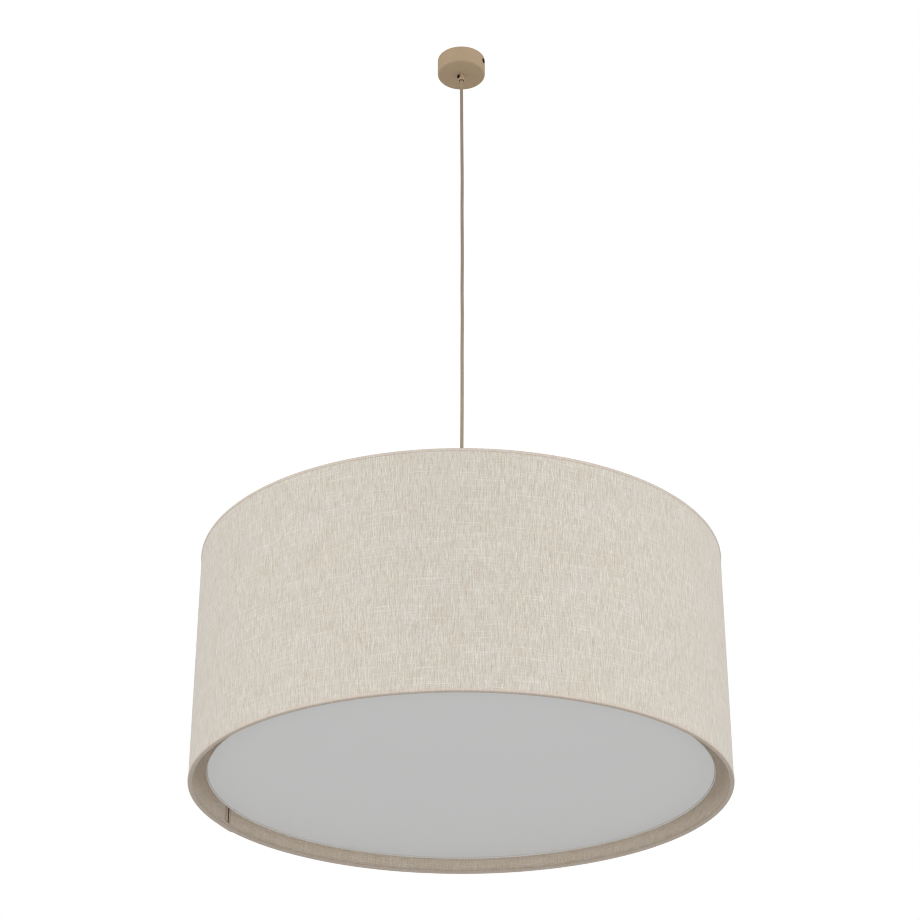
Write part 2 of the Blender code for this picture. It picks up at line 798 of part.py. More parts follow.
def make_cover():
    """The lid of the housing, with a spigot that stands up inside the wall."""
    floor = housing_bottom - seat_gap
    spigot_outer = (housing_radius - housing_wall) - seat_gap
    spigot_inner = spigot_outer - cover_thickness
    outline = ((0, floor), (spigot_inner, floor), (spigot_inner, floor + spigot_height),
               (spigot_outer, floor + spigot_height), (spigot_outer, floor),
               (housing_radius, floor), (housing_radius, floor - cover_thickness),
               (0, floor - cover_thickness))
    cover = turned("housing_cover", outline, housing_sides, white_lacquer, ring=False)
    cut(cover, radial_drill("spigot_hole", cover_screw_diameter / 2 + seat_gap,
                            spigot_inner - cut_overrun, spigot_outer + cut_overrun,
                            cover_screw_azimuth, cover_screw_height()))
    cover_screw = screw("cover_screw", cover_screw_diameter, cover_screw_head_diameter,
                        cover_screw_head_height, cover_screw_length, zinc_steel)
    turn = (Matrix.Rotation(cover_screw_azimuth, 4, "Z")
            @ Matrix.Translation((housing_radius + seat_gap, 0, 0))
            @ Matrix.Rotation(pi / 2, 4, "Y"))
    cover_screw.matrix_world = Matrix.Translation((0, 0, cover_screw_height())) @ turn
    return [cover, cover_screw]


def make_lampholder(side, azimuth):
    """One lampholder: hollow bolt, moulded holder, brass sleeve and centre contact.

    The outlines run along the holder's axis, measured from the lamp's axis.
    """
    bolt_outer = stem_diameter / 2
    socket_end = holder_floor - holder_floor_thickness
    dome_end = holder_back + holder_neck_length + holder_dome_length
    belt_end = dome_end + holder_belt_length
    holder = turned("lampholder_" + side, (
        (0, socket_end),
        (corner_radius(stem_bore, medium_sides), socket_end),
        (corner_radius(stem_bore, medium_sides), holder_back),
        (holder_neck_radius, holder_back),
        (holder_neck_radius, holder_back + holder_neck_length),
        (holder_radius, dome_end), (holder_radius, belt_end),
        (holder_mouth_radius + holder_step, belt_end + holder_step),
        (holder_mouth_radius, holder_mouth),
        (corner_radius(sleeve_bore, medium_sides), holder_mouth),
        (corner_radius(sleeve_bore, medium_sides), holder_floor),
        (0, holder_floor)), medium_sides, white_ceramic, ring=False)

    head_end = housing_radius - housing_wall - bolt_head_clearance
    head_start = head_end - bolt_head_height
    bolt = turned("holder_bolt_" + side, (
        (bolt_bore_radius, head_start), (bolt_head_radius, head_start),
        (bolt_head_radius, head_end), (bolt_outer, head_end),
        (bolt_outer, socket_end - seat_gap), (bolt_bore_radius, socket_end - seat_gap)),
        small_sides, zinc_steel)

    seat = holder_floor + seat_gap
    sleeve_inner = sleeve_outer_radius - sleeve_wall
    sleeve = turned("socket_sleeve_" + side, (
        (sleeve_hole_radius, seat), (sleeve_outer_radius, seat),
        (sleeve_outer_radius, seat + sleeve_length), (sleeve_inner, seat + sleeve_length),
        (sleeve_inner, seat + sleeve_wall), (sleeve_hole_radius, seat + sleeve_wall)),
        small_sides, bright_brass)
    contact = turned("socket_contact_" + side, (
        (0, seat), (contact_foot_radius, seat),
        (contact_foot_radius, seat + contact_foot_height),
        (contact_tip_radius, seat + contact_foot_height),
        (contact_tip_radius, seat + contact_tip_height - contact_foot_height),
        (0, seat + contact_tip_height)), small_sides, bright_brass, ring=False)
    pieces = (holder, bolt, sleeve, contact)
    for piece in pieces:
        turn_to(piece, azimuth, holder_centre)
    return pieces


def make_post(number, azimuth):
    """A post that hangs on a spoke and the magnet on its foot."""
    head_top = hub_centre + post_head_height / 2
    head_bottom = hub_centre - post_head_height / 2
    head = post_head_diameter / 2
    rod = post_diameter / 2
    foot = post_foot_diameter / 2
    foot_top = post_bottom + post_foot_height
    post = turned("diffuser_post_%d" % number, (
        (0, head_top), (head, head_top), (head, head_bottom), (rod, head_bottom - post_taper),
        (rod, foot_top), (foot, foot_top), (foot, post_bottom), (0, post_bottom)),
        small_sides, white_lacquer, ring=False)
    cross = radial_drill("cross_hole", rod_bore, -head - cut_overrun, head + cut_overrun,
                         0, hub_centre)
    cut(post, cross)
    magnet = cylinder("post_magnet_%d" % number, magnet_diameter / 2, magnet_bottom,
                      magnet_bottom + magnet_height, medium_sides, dark_magnet)
    for piece in (post, magnet):
        piece.rotation_euler.z = azimuth
        piece.location = (keeper_radius * cos(azimuth), keeper_radius * sin(azimuth), 0)
    return [post, magnet]


def make_shade():
    """All pieces that turn with the shade."""
    pieces = [make_wall("shade_fabric", shade_radius, fabric_thickness, linen),
              make_wall("shade_liner", liner_outer, liner_thickness, taupe_liner),
              make_seam(),
              make_ring("top_ring", top_rim, -1),
              make_ring("bottom_ring", bottom_rim, 1),
              make_trim("top_trim", top_rim, -1, top_trim_inner_height),
              make_trim("bottom_trim", bottom_rim, 1, bottom_trim_inner_height),
              make_gland(),
              nut("gland_nut", gland_nut_top - nut_height, zinc_steel),
              make_housing()]
    pieces += make_spider()
    pieces += make_cover()
    for side, azimuth in zip(holder_names, holder_azimuths):
        pieces += make_lampholder(side, azimuth)
    for number, azimuth in enumerate(spoke_azimuths, 1):
        pieces += make_post(number, azimuth)
    return pieces


# Diffuser

def make_diffuser():
    """The opal panel, the band round its edge and the steel ring glued on top."""
    panel_radius = band_radius - band_thickness - seat_gap
    panel = cylinder("diffuser_panel", panel_radius, panel_bottom, panel_top, large_sides,
                     opal_white)
    band_top = panel_top + band_rise
    band = turned("diffuser_band", (
        (band_radius - band_thickness, band_bottom), (band_radius, band_bottom),
        (band_radius, band_top), (band_radius - band_thickness, band_top)), large_sides,
        cream_plastic)
    inner = keeper_radius - keeper_width / 2
    outer = keeper_radius + keeper_width / 2
    keeper_top = keeper_bottom + keeper_thickness
    keeper = turned("keeper_ring", ((inner, keeper_bottom), (outer, keeper_bottom),
                                    (outer, keeper_top), (inner, keeper_top)), keeper_sides,
                    zinc_steel)
    return [panel, band, keeper]


def add_empty(name, place, parent=None):
    """An empty at a world place, which may hang on another empty."""
    empty = bpy.data.objects.new(name, None)
    bpy.context.scene.collection.objects.link(empty)
    empty.location = place
    if parent:
        empty.parent = parent
        empty.location = Vector(place) - parent_place(parent)
    return empty


def parent_place(empty):
    """World place of an empty, added up along its parents."""
    place = Vector(empty.location)
    while empty.parent:
        empty = empty.parent
        place += empty.location
    return place


def hang(pieces, empty):
    """Parent pieces to an empty and leave them where they are."""
    for piece in pieces:
        piece.parent = empty
        piece.matrix_parent_inverse = Matrix.Translation(-parent_place(empty))


def build_lamp():
    """Build the whole lamp on a chain of empties at its joints."""
    clear_scene()
    make_ceiling_part()
    upper_pivot = add_empty("upper_bend_axis", (0, 0, upper_bend))
    lower_pivot = add_empty("lower_bend_axis", (0, 0, lower_bend), upper_pivot)
    shade_axis = add_empty("shade_axis", (0, 0, hub_centre), lower_pivot)
    diffuser_axis = add_empty("diffuser_axis", (0, 0, panel_top), shade_axis)
    hang([make_cord_bend()], upper_pivot)
    hang([make_power_cord()], lower_pivot)
    hang(make_shade(), shade_axis)
    hang(make_diffuser(), diffuser_axis)
    bpy.context.view_layer.update()


build_lamp()
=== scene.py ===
"""Drum pendant light: the finished looks round the fixed CAD frame.

Lengths are in metres. The ceiling is the plane z = 0, the lamp's axis is the Z axis and the
viewer stands on the -Y side.
"""

import json
from math import atan2, cos, pi, radians, sin, sqrt

import bmesh
import bpy
from mathutils import Matrix, Vector


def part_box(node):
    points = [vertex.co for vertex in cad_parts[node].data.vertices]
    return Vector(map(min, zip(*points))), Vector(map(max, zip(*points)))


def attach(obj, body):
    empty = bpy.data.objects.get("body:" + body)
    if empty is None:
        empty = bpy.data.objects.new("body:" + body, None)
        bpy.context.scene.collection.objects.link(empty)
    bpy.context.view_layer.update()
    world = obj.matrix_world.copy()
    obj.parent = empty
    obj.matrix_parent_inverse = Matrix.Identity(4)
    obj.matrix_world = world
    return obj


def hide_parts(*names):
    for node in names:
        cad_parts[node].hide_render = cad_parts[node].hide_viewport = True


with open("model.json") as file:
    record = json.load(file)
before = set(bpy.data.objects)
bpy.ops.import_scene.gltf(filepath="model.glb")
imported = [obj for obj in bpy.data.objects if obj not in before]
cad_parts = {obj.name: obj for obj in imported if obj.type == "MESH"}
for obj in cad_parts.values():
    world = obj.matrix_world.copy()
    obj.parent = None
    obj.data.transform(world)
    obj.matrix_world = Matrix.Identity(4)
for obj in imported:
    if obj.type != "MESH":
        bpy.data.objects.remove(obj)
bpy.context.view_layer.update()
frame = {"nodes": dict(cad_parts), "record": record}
record = frame["record"]
slot_of = {row["node"]: row["material_slot"] for row in record["subparts"]}
body_of = {node: body for body, nodes in record["behaviour"]["bodies"].items()
           for node in nodes}

# Facets, merge distances, the gap between seated pieces and the usual rounding of an edge
wide_steps = 256
canopy_steps = 160
body_steps = 96
grip_steps = 64
small_steps = 48
wire_rounding = 6
merge = 0.000002
weld = 0.00001
gap = 0.0003
ease = 0.0003

# Sizes follow the CAD source. Roundings, flutes, ridges and threads are finer here.

# Canopy
canopy_radius = 0.04125
canopy_wall = 0.0012
canopy_face = -0.0326
canopy_rim = -0.0005
canopy_edge = 0.0036
canopy_rim_edge = 0.0004
strap_thickness = 0.0015
stem_radius = 0.0048
stem_bore = 0.0051
screw_azimuth = radians(-21)
screw_drop = 0.0112

# Cord and its grip
cord_radius = 0.0027
cord_bore = cord_radius + gap
cord_low = -1.0278
cord_step = 0.008
cord_tip_shares = (0.97, 0.85, 0.65, 0.35)
grip_radius = 0.0057
grip_seat = canopy_face - gap
grip_mouth = grip_seat - 0.0105
grip_mouth_bore = 0.0043
grip_throat = 0.0032
grip_screw_azimuth = radians(220)
grip_screw_drop = 0.0046
bend_top = grip_mouth + 0.0055
grip_funnel_bore = grip_mouth_bore - 0.0003
grip_funnel_top = bend_top - 0.0007
grip_low_edge = 0.0006
grip_high_edge = 0.0004
cord_top = grip_mouth + 0.001

# The hanging cord's slightly wavy line
cord_places = ((0, 0, cord_top), (0.0004, 0, -0.074), (0.0007, 0.0001, -0.128),
               (0.0011, 0.0001, -0.191), (0.0015, -0.0001, -0.254), (0.0013, -0.0003, -0.316),
               (0.0016, -0.0002, -0.376), (0.0017, 0.0001, -0.416), (0.0014, 0.0002, -0.475),
               (0.0017, 0.0003, -0.533), (0.0014, 0.0002, -0.591), (0.0015, 0, -0.647),
               (0.0014, -0.0001, -0.703), (0.0011, -0.0002, -0.758), (0.0007, -0.0001, -0.850),
               (0.0002, 0, -0.930), (0, 0, -0.985), (0, 0, cord_low))

# Shade
shade_radius = 0.400
rim_low = -1.348
rim_high = -0.986
fabric_inner = 0.3993
liner_outer = 0.3990
liner_inner = 0.3982
wall_inset = 0.0022
trim_outer = 0.4009
trim_inner = 0.3938
trim_middle = (trim_outer + trim_inner) / 2
trim_thickness = 0.0006
trim_bend = 0.0022
trim_outer_height = 0.0045
low_trim_inner_height = 0.0050
high_trim_inner_height = 0.0020
trim_lean = 0.00025
trim_end_round = 0.00025
low_lip_bend = 0.0020
low_lip_edge = 0.0002
low_lip_under = 0.0014
high_trim_bend = 0.0014
high_trim_under = 0.0008
fold_radius = 0.0036
fold_height = 0.0028
lap_start = radians(152.9)
lap_run = radians(7)
lap_steps = 14
lap_inner = 0.0001
lap_outer = 0.0009
lap_sink = 0.30
lap_drop = 0.0005
lap_bend = trim_bend + 0.0007
ring_radius = 0.3963
ring_wire = 0.0032
ring_sides = 16
seam_azimuth = radians(154.75)
seam_width = 0.014
seam_thickness = 0.0006
seam_clearance = 0.011
seam_stand_off = 0.0004
slit_width = 0.0032
slit_depth = 0.0007
slit_shift = 0.0006

# Spider and gland
hub_centre = -1.010
hub_radius = 0.025
hub_height = 0.010
hub_low = hub_centre - hub_height / 2
hub_high = hub_centre + hub_height / 2
hub_edge = 0.001
hub_bore_edge = 0.0004
spoke_azimuths = tuple(radians(45 + 90 * turn) for turn in range(4))
spoke_radius = 0.0025
spoke_rise = radians(45)
spoke_bend = 0.014
spoke_bend_steps = 12
spoke_socket_depth = 0.009
spoke_socket_radius = 0.00282
drill_overrun = 0.002
gland_flange_radius = 0.009
gland_flange_height = 0.004
gland_shoulder_radius = 0.0065
gland_flute_low = 0.0055
gland_flute_high = 0.0105
gland_shoulder_height = 0.0115
gland_tip_radius = 0.00475
gland_height = 0.0155
gland_flute_depth = 0.0005
gland_low_edge = 0.0004
gland_flange_edge = 0.0006
gland_shoulder_round = 0.0012
gland_tip_round = 0.0008
flutes = 24

# Lamp housing and lampholders
housing_radius = 0.045
housing_wall = 0.0012
housing_edge = 0.003
housing_high = -1.0153
housing_low = housing_high - 0.044
spigot_height = 0.006
cover_edge = 0.0007
cover_screw_azimuth = radians(45)
cover_screw_rise = 0.0027
holder_centre = housing_high - 0.022
holder_azimuths = {"right": 0.0, "back": pi / 2, "left": pi, "front": 3 * pi / 2}
holder_back = housing_radius + gap
holder_mouth = holder_back + 0.056
holder_floor = holder_mouth - 0.033
holder_end = holder_floor - 0.0055
holder_dome = holder_back + 0.0155
holder_belt = holder_dome + 0.022
holder_neck_radius = 0.008
holder_neck_length = 0.0035
holder_shoulder_radius = 0.0155
holder_shoulder_length = 0.0065
holder_radius = 0.020
holder_step_radius = 0.0190
holder_step_length = 0.0012
holder_mouth_radius = 0.0178
holder_mouth_bore = 0.0147
holder_flute_depth = 0.0007
holder_flute_start = 0.0035
holder_flute_end = 0.0025
holder_dome_round = 0.003
holder_belt_edge = 0.0006
holder_lip_edge = 0.0005
holder_waist_start = 0.004
holder_waist_end = 0.003
ridge_count = 5
ridge_pitch = 0.003
ridge_crest = 0.0188
ridge_root = 0.0182
ridge_start = 0.0022
ridge_slope_end = 0.0008
ridge_slope_start = 0.0018
ridge_end = 0.0026
bolt_edge = 0.0002
sleeve_seat = holder_floor + gap
sleeve_crest = 0.01435
sleeve_root = 0.01335
sleeve_wall = 0.0004
sleeve_cut_low = 0.0006
sleeve_cut_high = 0.0289
sleeve_hole = 0.0091
sleeve_foot_reach = 0.002
thread_pitch = 0.00362
thread_turns = 9
contact_radius = 0.006
contact_tip_radius = 0.003
contact_foot_height = 0.001
contact_side_height = 0.0042
contact_height = 0.0052
contact_foot_round = 0.0006
contact_tip_round = 0.0008

# Diffuser and what carries it
band_radius = 0.374
band_thickness = 0.0008
band_low = rim_low + 0.0175
band_rise = 0.001
band_round = 0.0002
band_joint = radians(1.7)
band_opening = 0.0012 / band_radius
band_lift = 0.0009 / band_radius
band_lift_run = radians(5)
panel_low = band_low + 0.0022
panel_high = panel_low + 0.003
panel_radius = band_radius - 0.0011
panel_edge = 0.0005
keeper_radius = 0.230
keeper_half_width = 0.012
post_radius = 0.0025
post_head_radius = 0.006
post_foot_radius = 0.0075
post_head_low = hub_centre - 0.006
post_head_high = hub_centre + 0.006
post_taper = 0.0015
post_drill_radius = 0.0028
post_drill_length = 0.02
post_head_edge = 0.0008
post_shoulder_edge = 0.0006
post_foot_bend = 0.001
post_foot_edge = 0.0005
magnet_edge = 0.0004

# Screws with a socket: head diameter and height, shank radius and length, radius of the socket
canopy_screw = {"diameter": 0.0085, "height": 0.0008, "shank": 0.002, "length": 0.011,
                "key": 0.0013}
grip_screw = {"diameter": 0.0062, "height": 0.0016, "shank": 0.0015, "length": 0.0022,
              "key": 0.0011}
cover_screw = {"diameter": 0.0055, "height": 0.0016, "shank": 0.0015, "length": 0.005,
               "key": 0.001}
earth_screw = {"diameter": 0.007, "height": 0.0024, "shank": 0.002, "length": 0.0015,
               "key": 0.0014}
clamp_screw = {"diameter": 0.0038, "height": 0.0016, "shank": 0.0012, "length": 0.001,
               "key": 0.0007}
head_round_share = 0.45
socket_centre_share = 0.8
clamp_spacing = 0.005
clamp_reach = 0.020
clamp_well_depth = 0.004

# Camera and studio
camera_place = (0, -3.08912, -2.42465)
camera_pitch = 0.4857
camera_roll = 0.0007
camera_yaw = -0.0006
camera_lens = 85.92
floor_height = -2.75
floor_reach = 90
surround_way = (0, -0.387, 0)
surround_strength = 0.717
side_light_height = -0.7
shade_aim_height = -1.3


# Nodes

def put(tree, kind, inputs=None, **settings):
    """Add a node, set its fields, and give its inputs values or the sockets they come from."""
    made = tree.nodes.new(kind)
    for field, value in settings.items():
        setattr(made, field, value)
    for key, value in (inputs or {}).items():
        if isinstance(value, bpy.types.NodeSocket):
            tree.links.new(value, made.inputs[key])
        else:
            made.inputs[key].default_value = value
    return made


def reckon(tree, operation, *values):
    """One step of arithmetic on sockets or numbers."""
    return put(tree, "ShaderNodeMath", dict(enumerate(values)), operation=operation).outputs[0]


def stretch(tree, value, low, high):
    """Bring a range of values to 0 and 1 and hold it there."""
    return put(tree, "ShaderNodeMapRange",
               {"Value": value, "From Min": low, "From Max": high}).outputs["Result"]


def between(tree, share, first, second, blend="MIX"):
    """Mix two colours."""
    return put(tree, "ShaderNodeMix", {0: share, 6: first, 7: second},
               data_type="RGBA", blend_type=blend).outputs[2]


def scaled(tree, colour, gain):
    """Make a colour lighter or darker by a gain."""
    return put(tree, "ShaderNodeVectorMath", {0: colour, "Scale": gain},
               operation="SCALE").outputs[0]


def noise(tree, place, scale, detail, rough):
    """Noise at a place, about 0 to 1."""
    return put(tree, "ShaderNodeTexNoise", {"Vector": place, "Scale": scale, "Detail": detail,
                                            "Roughness": rough}).outputs["Fac"]


def cloud(tree, u, v, across, along, detail=2.0, rough=0.5, layer=0.0):
    """Noise with its own number of cells per metre across and along."""
    place = put(tree, "ShaderNodeCombineXYZ",
                {"X": reckon(tree, "MULTIPLY", u, across),
                 "Y": reckon(tree, "MULTIPLY", v, along), "Z": layer})
    return noise(tree, place.outputs[0], 1.0, detail, rough)


def new_group(name, inputs, outputs):
    """Start a node group with named inputs and outputs."""
    kinds = {"value": "NodeSocketFloat", "colour": "NodeSocketColor",
             "vector": "NodeSocketVector"}
    tree = bpy.data.node_groups.new(name, "ShaderNodeTree")
    for label, kind, start in inputs:
        socket = tree.interface.new_socket(label, in_out="INPUT", socket_type=kinds[kind])
        if start is not None:
            socket.default_value = start
    for label, kind in outputs:
        tree.interface.new_socket(label, in_out="OUTPUT", socket_type=kinds[kind])
    return tree, tree.nodes.new("NodeGroupInput").outputs, tree.nodes.new("NodeGroupOutput")


def woven_threads():
    """Warp and weft yarns of a slubby cloth whose map is in metres.

    Short runs of every yarn and fuzz change how light it is. Long runs, pale slubs, long pale
    picks and dark flecks change its colour, and a warm tint wanders over the cloth.
    """
    tree, given, out = new_group("woven_threads", (
        ("Vector", "vector", None), ("Yarn Pitch", "value", 0.0011),
        ("Warp Share", "value", 0.82), ("Warp Run", "value", 0.0087),
        ("Weft Share", "value", 0.31), ("Weft Run", "value", 0.0054),
        ("Fuzz Share", "value", 0.23), ("Long Share", "value", 0.58),
        ("Long Run", "value", 0.036), ("Slub Share", "value", 0.19),
        ("Slub Run", "value", 0.0153), ("Pick Share", "value", 0.19),
        ("Pick Run", "value", 0.070), ("Pick Pitch", "value", 0.0012),
        ("Fleck Share", "value", 0.18), ("Fleck Run", "value", 0.0022),
        ("Patch Share", "value", 0.04), ("Lean", "value", 0.0045),
        ("Shift", "value", 0.09), ("Contrast", "value", 1.1), ("Gain", "value", 0.46),
        ("Warm Share", "value", 0.75), ("Warm Pitch", "value", 0.0033),
        ("Warm Run", "value", 0.018), ("Tint Share", "value", 0.62),
        ("Dark", "colour", (0.4, 0.35, 0.3, 1)), ("Light", "colour", (0.9, 0.85, 0.8, 1)),
        ("Warm", "colour", (1.0, 0.94, 0.84, 1))),
        (("Color", "colour"), ("Height", "value")))
    split = put(tree, "ShaderNodeSeparateXYZ", {"Vector": given["Vector"]}).outputs
    u, v = split["X"], split["Y"]
    streak_start, streak_full = 0.56, 0.76
    bundle_share = 0.7
    short_tone = 0.5
    weave_relief = 0.4

    def rate(label):
        return reckon(tree, "DIVIDE", 1.0, given[label])

    def centred(*values, **settings):
        return reckon(tree, "SUBTRACT", cloud(tree, *values, **settings), 0.5)

    def streaks(*values, **settings):
        return stretch(tree, cloud(tree, *values, **settings), streak_start, streak_full)

    def summed(layers):
        total = 0.0
        for label, value in layers:
            total = reckon(tree, "MULTIPLY_ADD", value, given[label], total)
        return total

    # Yarns lean a little, and each bundle of them is shifted along itself
    yarns = rate("Yarn Pitch")
    bundles = reckon(tree, "MULTIPLY", yarns, bundle_share)
    leaning = reckon(tree, "MULTIPLY_ADD", centred(u, v, 18.0, 34.0), given["Lean"], u)
    swaying = reckon(tree, "MULTIPLY_ADD", centred(u, v, 14.0, 20.0, layer=71.0),
                     given["Lean"], v)
    shift = cloud(tree, leaning, v, bundles, 3.0, detail=1.0, layer=61.0)
    along = reckon(tree, "MULTIPLY_ADD", shift, given["Shift"], v)
    shift = cloud(tree, u, swaying, 3.0, bundles, detail=1.0, layer=67.0)
    across = reckon(tree, "MULTIPLY_ADD", shift, given["Shift"], u)

    short = summed((
        ("Warp Share", centred(leaning, along, yarns, rate("Warp Run"), detail=1.0)),
        ("Weft Share", centred(across, swaying, rate("Weft Run"), yarns, detail=1.0,
                               layer=9.0)),
        ("Fuzz Share", centred(u, v, yarns, yarns, detail=1.0, layer=31.0))))
    long = summed((
        ("Long Share", centred(leaning, along, yarns, rate("Long Run"), detail=1.0,
                               layer=21.0)),
        ("Slub Share", streaks(leaning, along, yarns, rate("Slub Run"), detail=1.0,
                               layer=5.0)),
        ("Pick Share", streaks(across, swaying, rate("Pick Run"), rate("Pick Pitch"),
                               detail=1.0, layer=13.0)),
        ("Patch Share", centred(u, v, 30.0, 20.0, detail=3.0, rough=0.55, layer=3.0))))
    flecks = streaks(leaning, along, yarns, rate("Fleck Run"), detail=1.0, layer=37.0)
    long = reckon(tree, "SUBTRACT", long,
                  reckon(tree, "MULTIPLY", flecks, given["Fleck Share"]))

    coloured = reckon(tree, "MULTIPLY_ADD", short, short_tone, long)
    tone = reckon(tree, "MULTIPLY_ADD", coloured, given["Contrast"], 0.5)
    colour = between(tree, stretch(tree, tone, 0.0, 1.0), given["Dark"], given["Light"])
    gain = reckon(tree, "MULTIPLY", given["Gain"], given["Contrast"])
    colour = scaled(tree, colour, reckon(tree, "MULTIPLY_ADD", short, gain, 1.0))
    warm = reckon(tree, "MULTIPLY_ADD",
                  centred(leaning, v, rate("Warm Pitch"), rate("Warm Run"), layer=41.0),
                  given["Warm Share"], 0.5)
    warm = reckon(tree, "MULTIPLY_ADD", centred(u, v, 22.0, 16.0, layer=47.0),
                  given["Tint Share"], warm)
    tinted = between(tree, stretch(tree, warm, 0.0, 1.0), colour, given["Warm"], "MULTIPLY")

    turn = reckon(tree, "DIVIDE", pi, given["Yarn Pitch"])
    over = reckon(tree, "SINE", reckon(tree, "MULTIPLY", leaning, turn))
    under = reckon(tree, "SINE", reckon(tree, "MULTIPLY", v, turn))
    weave = reckon(tree, "MULTIPLY", over, under)
    relief = reckon(tree, "ADD", short, long)
    tree.links.new(tinted, out.inputs["Color"])
    tree.links.new(reckon(tree, "MULTIPLY_ADD", weave, weave_relief, relief),
                   out.inputs["Height"])
    return tree


def fine_grain():
    """Faint mottling and grain of a coating, a casting or a moulding."""
    tree, given, out = new_group("fine_grain", (
        ("Vector", "vector", None), ("Grain", "value", 1500.0), ("Mottle", "value", 0.05),
        ("Base", "colour", (0.5, 0.5, 0.5, 1)), ("Smooth", "value", 0.45),
        ("Rough", "value", 0.6)),
        (("Color", "colour"), ("Roughness", "value"), ("Height", "value")))
    grain = noise(tree, given["Vector"], given["Grain"], detail=2.0, rough=0.55)
    broad = noise(tree, given["Vector"], 60.0, detail=3.0, rough=0.6)
    both = reckon(tree, "SUBTRACT", reckon(tree, "ADD", grain, broad), 1.0)
    gain = reckon(tree, "MULTIPLY_ADD", both, given["Mottle"], 1.0)
    rough = put(tree, "ShaderNodeMapRange",
                {"Value": broad, "From Min": 0.3, "From Max": 0.7, "To Min": given["Smooth"],
                 "To Max": given["Rough"]})
    tree.links.new(scaled(tree, given["Base"], gain), out.inputs["Color"])
    tree.links.new(rough.outputs["Result"], out.inputs["Roughness"])
    tree.links.new(grain, out.inputs["Height"])
    return tree


def braided_yarn():
    """Two crossing sets of yarns round a cord whose map runs 0 to 1 round it.

    The cord is sandier just under the grip, and painted light makes it a little paler further
    down.
    """
    tree, given, out = new_group("braided_yarn", (
        ("Vector", "vector", None), ("Yarns", "value", 16.0), ("Rows", "value", 620.0),
        ("Dark", "colour", (0.2, 0.17, 0.12, 1)), ("Light", "colour", (0.4, 0.34, 0.26, 1))),
        (("Color", "colour"), ("Height", "value")))
    split = put(tree, "ShaderNodeSeparateXYZ", {"Vector": given["Vector"]}).outputs
    turn, height = split["X"], split["Y"]
    around = reckon(tree, "MULTIPLY", turn, given["Yarns"])
    down = reckon(tree, "MULTIPLY", height, given["Rows"])
    rising, falling = (reckon(tree, "SINE", reckon(
        tree, "MULTIPLY", reckon(tree, way, around, down), 2 * pi))
        for way in ("ADD", "SUBTRACT"))
    yarn = reckon(tree, "MULTIPLY_ADD", reckon(tree, "MULTIPLY", rising, falling), 0.5, 0.5)
    fibre = cloud(tree, turn, height, 60.0, 900.0, detail=3.0, rough=0.6)
    wear = cloud(tree, turn, height, 1.0, 30.0, layer=4.0)
    yarn_share, fibre_share, wear_share = 0.4, 0.6, 0.5
    tone = reckon(tree, "ADD", reckon(tree, "MULTIPLY", yarn, yarn_share),
                  reckon(tree, "MULTIPLY", fibre, fibre_share))
    tone = reckon(tree, "ADD", tone, reckon(tree, "MULTIPLY", wear, wear_share))
    colour = between(tree, stretch(tree, tone, 0.35, 1.15), given["Dark"], given["Light"])

    # Painted light: the cord grows paler lower down, towards the shade.
    painted_light_low = stretch(tree, height, -0.40, -0.74)
    sandy_top = stretch(tree, height, -0.070, -0.052)
    painted_light_gain, sandy_gain, sand = 0.32, 0.34, (1.0, 0.90, 0.79, 1)
    gain = reckon(tree, "MULTIPLY_ADD", painted_light_low, painted_light_gain, 1.0)
    gain = reckon(tree, "MULTIPLY_ADD", sandy_top, sandy_gain, gain)
    colour = between(tree, sandy_top, colour, sand, "MULTIPLY")
    tree.links.new(scaled(tree, colour, gain), out.inputs["Color"])
    tree.links.new(reckon(tree, "MULTIPLY_ADD", fibre, 0.3, yarn), out.inputs["Height"])
    return tree


woven_group = woven_threads()
grain_group = fine_grain()
braid_group = braided_yarn()


# Finishes

def start_finish(name, group, values, coordinates, bump, **own):
    """A Principled finish that takes its colour and relief from one of the groups."""
    material = bpy.data.materials.new(name + "_finish")
    material.use_nodes = True
    tree = material.node_tree
    shader = tree.nodes["Principled BSDF"]
    if coordinates == "map":
        where = put(tree, "ShaderNodeUVMap", uv_map="cloth").outputs["UV"]
    else:
        where = put(tree, "ShaderNodeTexCoord").outputs["Object"]
    pattern = put(tree, "ShaderNodeGroup", {}, node_tree=group)
    tree.links.new(where, pattern.inputs["Vector"])
    for label, value in values.items():
        pattern.inputs[label].default_value = value
    tree.links.new(pattern.outputs["Color"], shader.inputs["Base Color"])
    if "Roughness" in pattern.outputs:
        tree.links.new(pattern.outputs["Roughness"], shader.inputs["Roughness"])
    strength, distance = bump
    relief = put(tree, "ShaderNodeBump", {"Strength": strength, "Distance": distance,
                                          "Height": pattern.outputs["Height"]})
    tree.links.new(relief.outputs["Normal"], shader.inputs["Normal"])
    for label, value in own.items():
        shader.inputs[label.replace("_", " ")].default_value = value
    return material


def cloth(name, dark, light, bump=(0.35, 0.0004), **values):
    """A woven cloth or a film with a woven face."""
    own = {key: values.pop(key) for key in list(values) if key[0].isupper()}
    labels = {key.replace("_", " ").title(): value for key, value in values.items()}
    return start_finish(name, woven_group, {"Dark": (*dark, 1), "Light": (*light, 1), **labels},
                        "map", bump, Roughness=0.92, Specular_IOR_Level=0.2, **own)


def coated(name, base, smooth, rough, grain=1500.0, mottle=0.05, bump=(0.12, 0.0002), **own):
    """A coating, a moulding or bare metal with faint grain."""
    return start_finish(name, grain_group, {"Base": (*base, 1), "Smooth": smooth,
                                            "Rough": rough, "Grain": grain, "Mottle": mottle},
                        "place", bump, **own)


def map_run(tree):
    """Place along the outline of a mapped cloth."""
    place = put(tree, "ShaderNodeUVMap", uv_map="cloth").outputs["UV"]
    return put(tree, "ShaderNodeSeparateXYZ", {"Vector": place}).outputs["Y"]


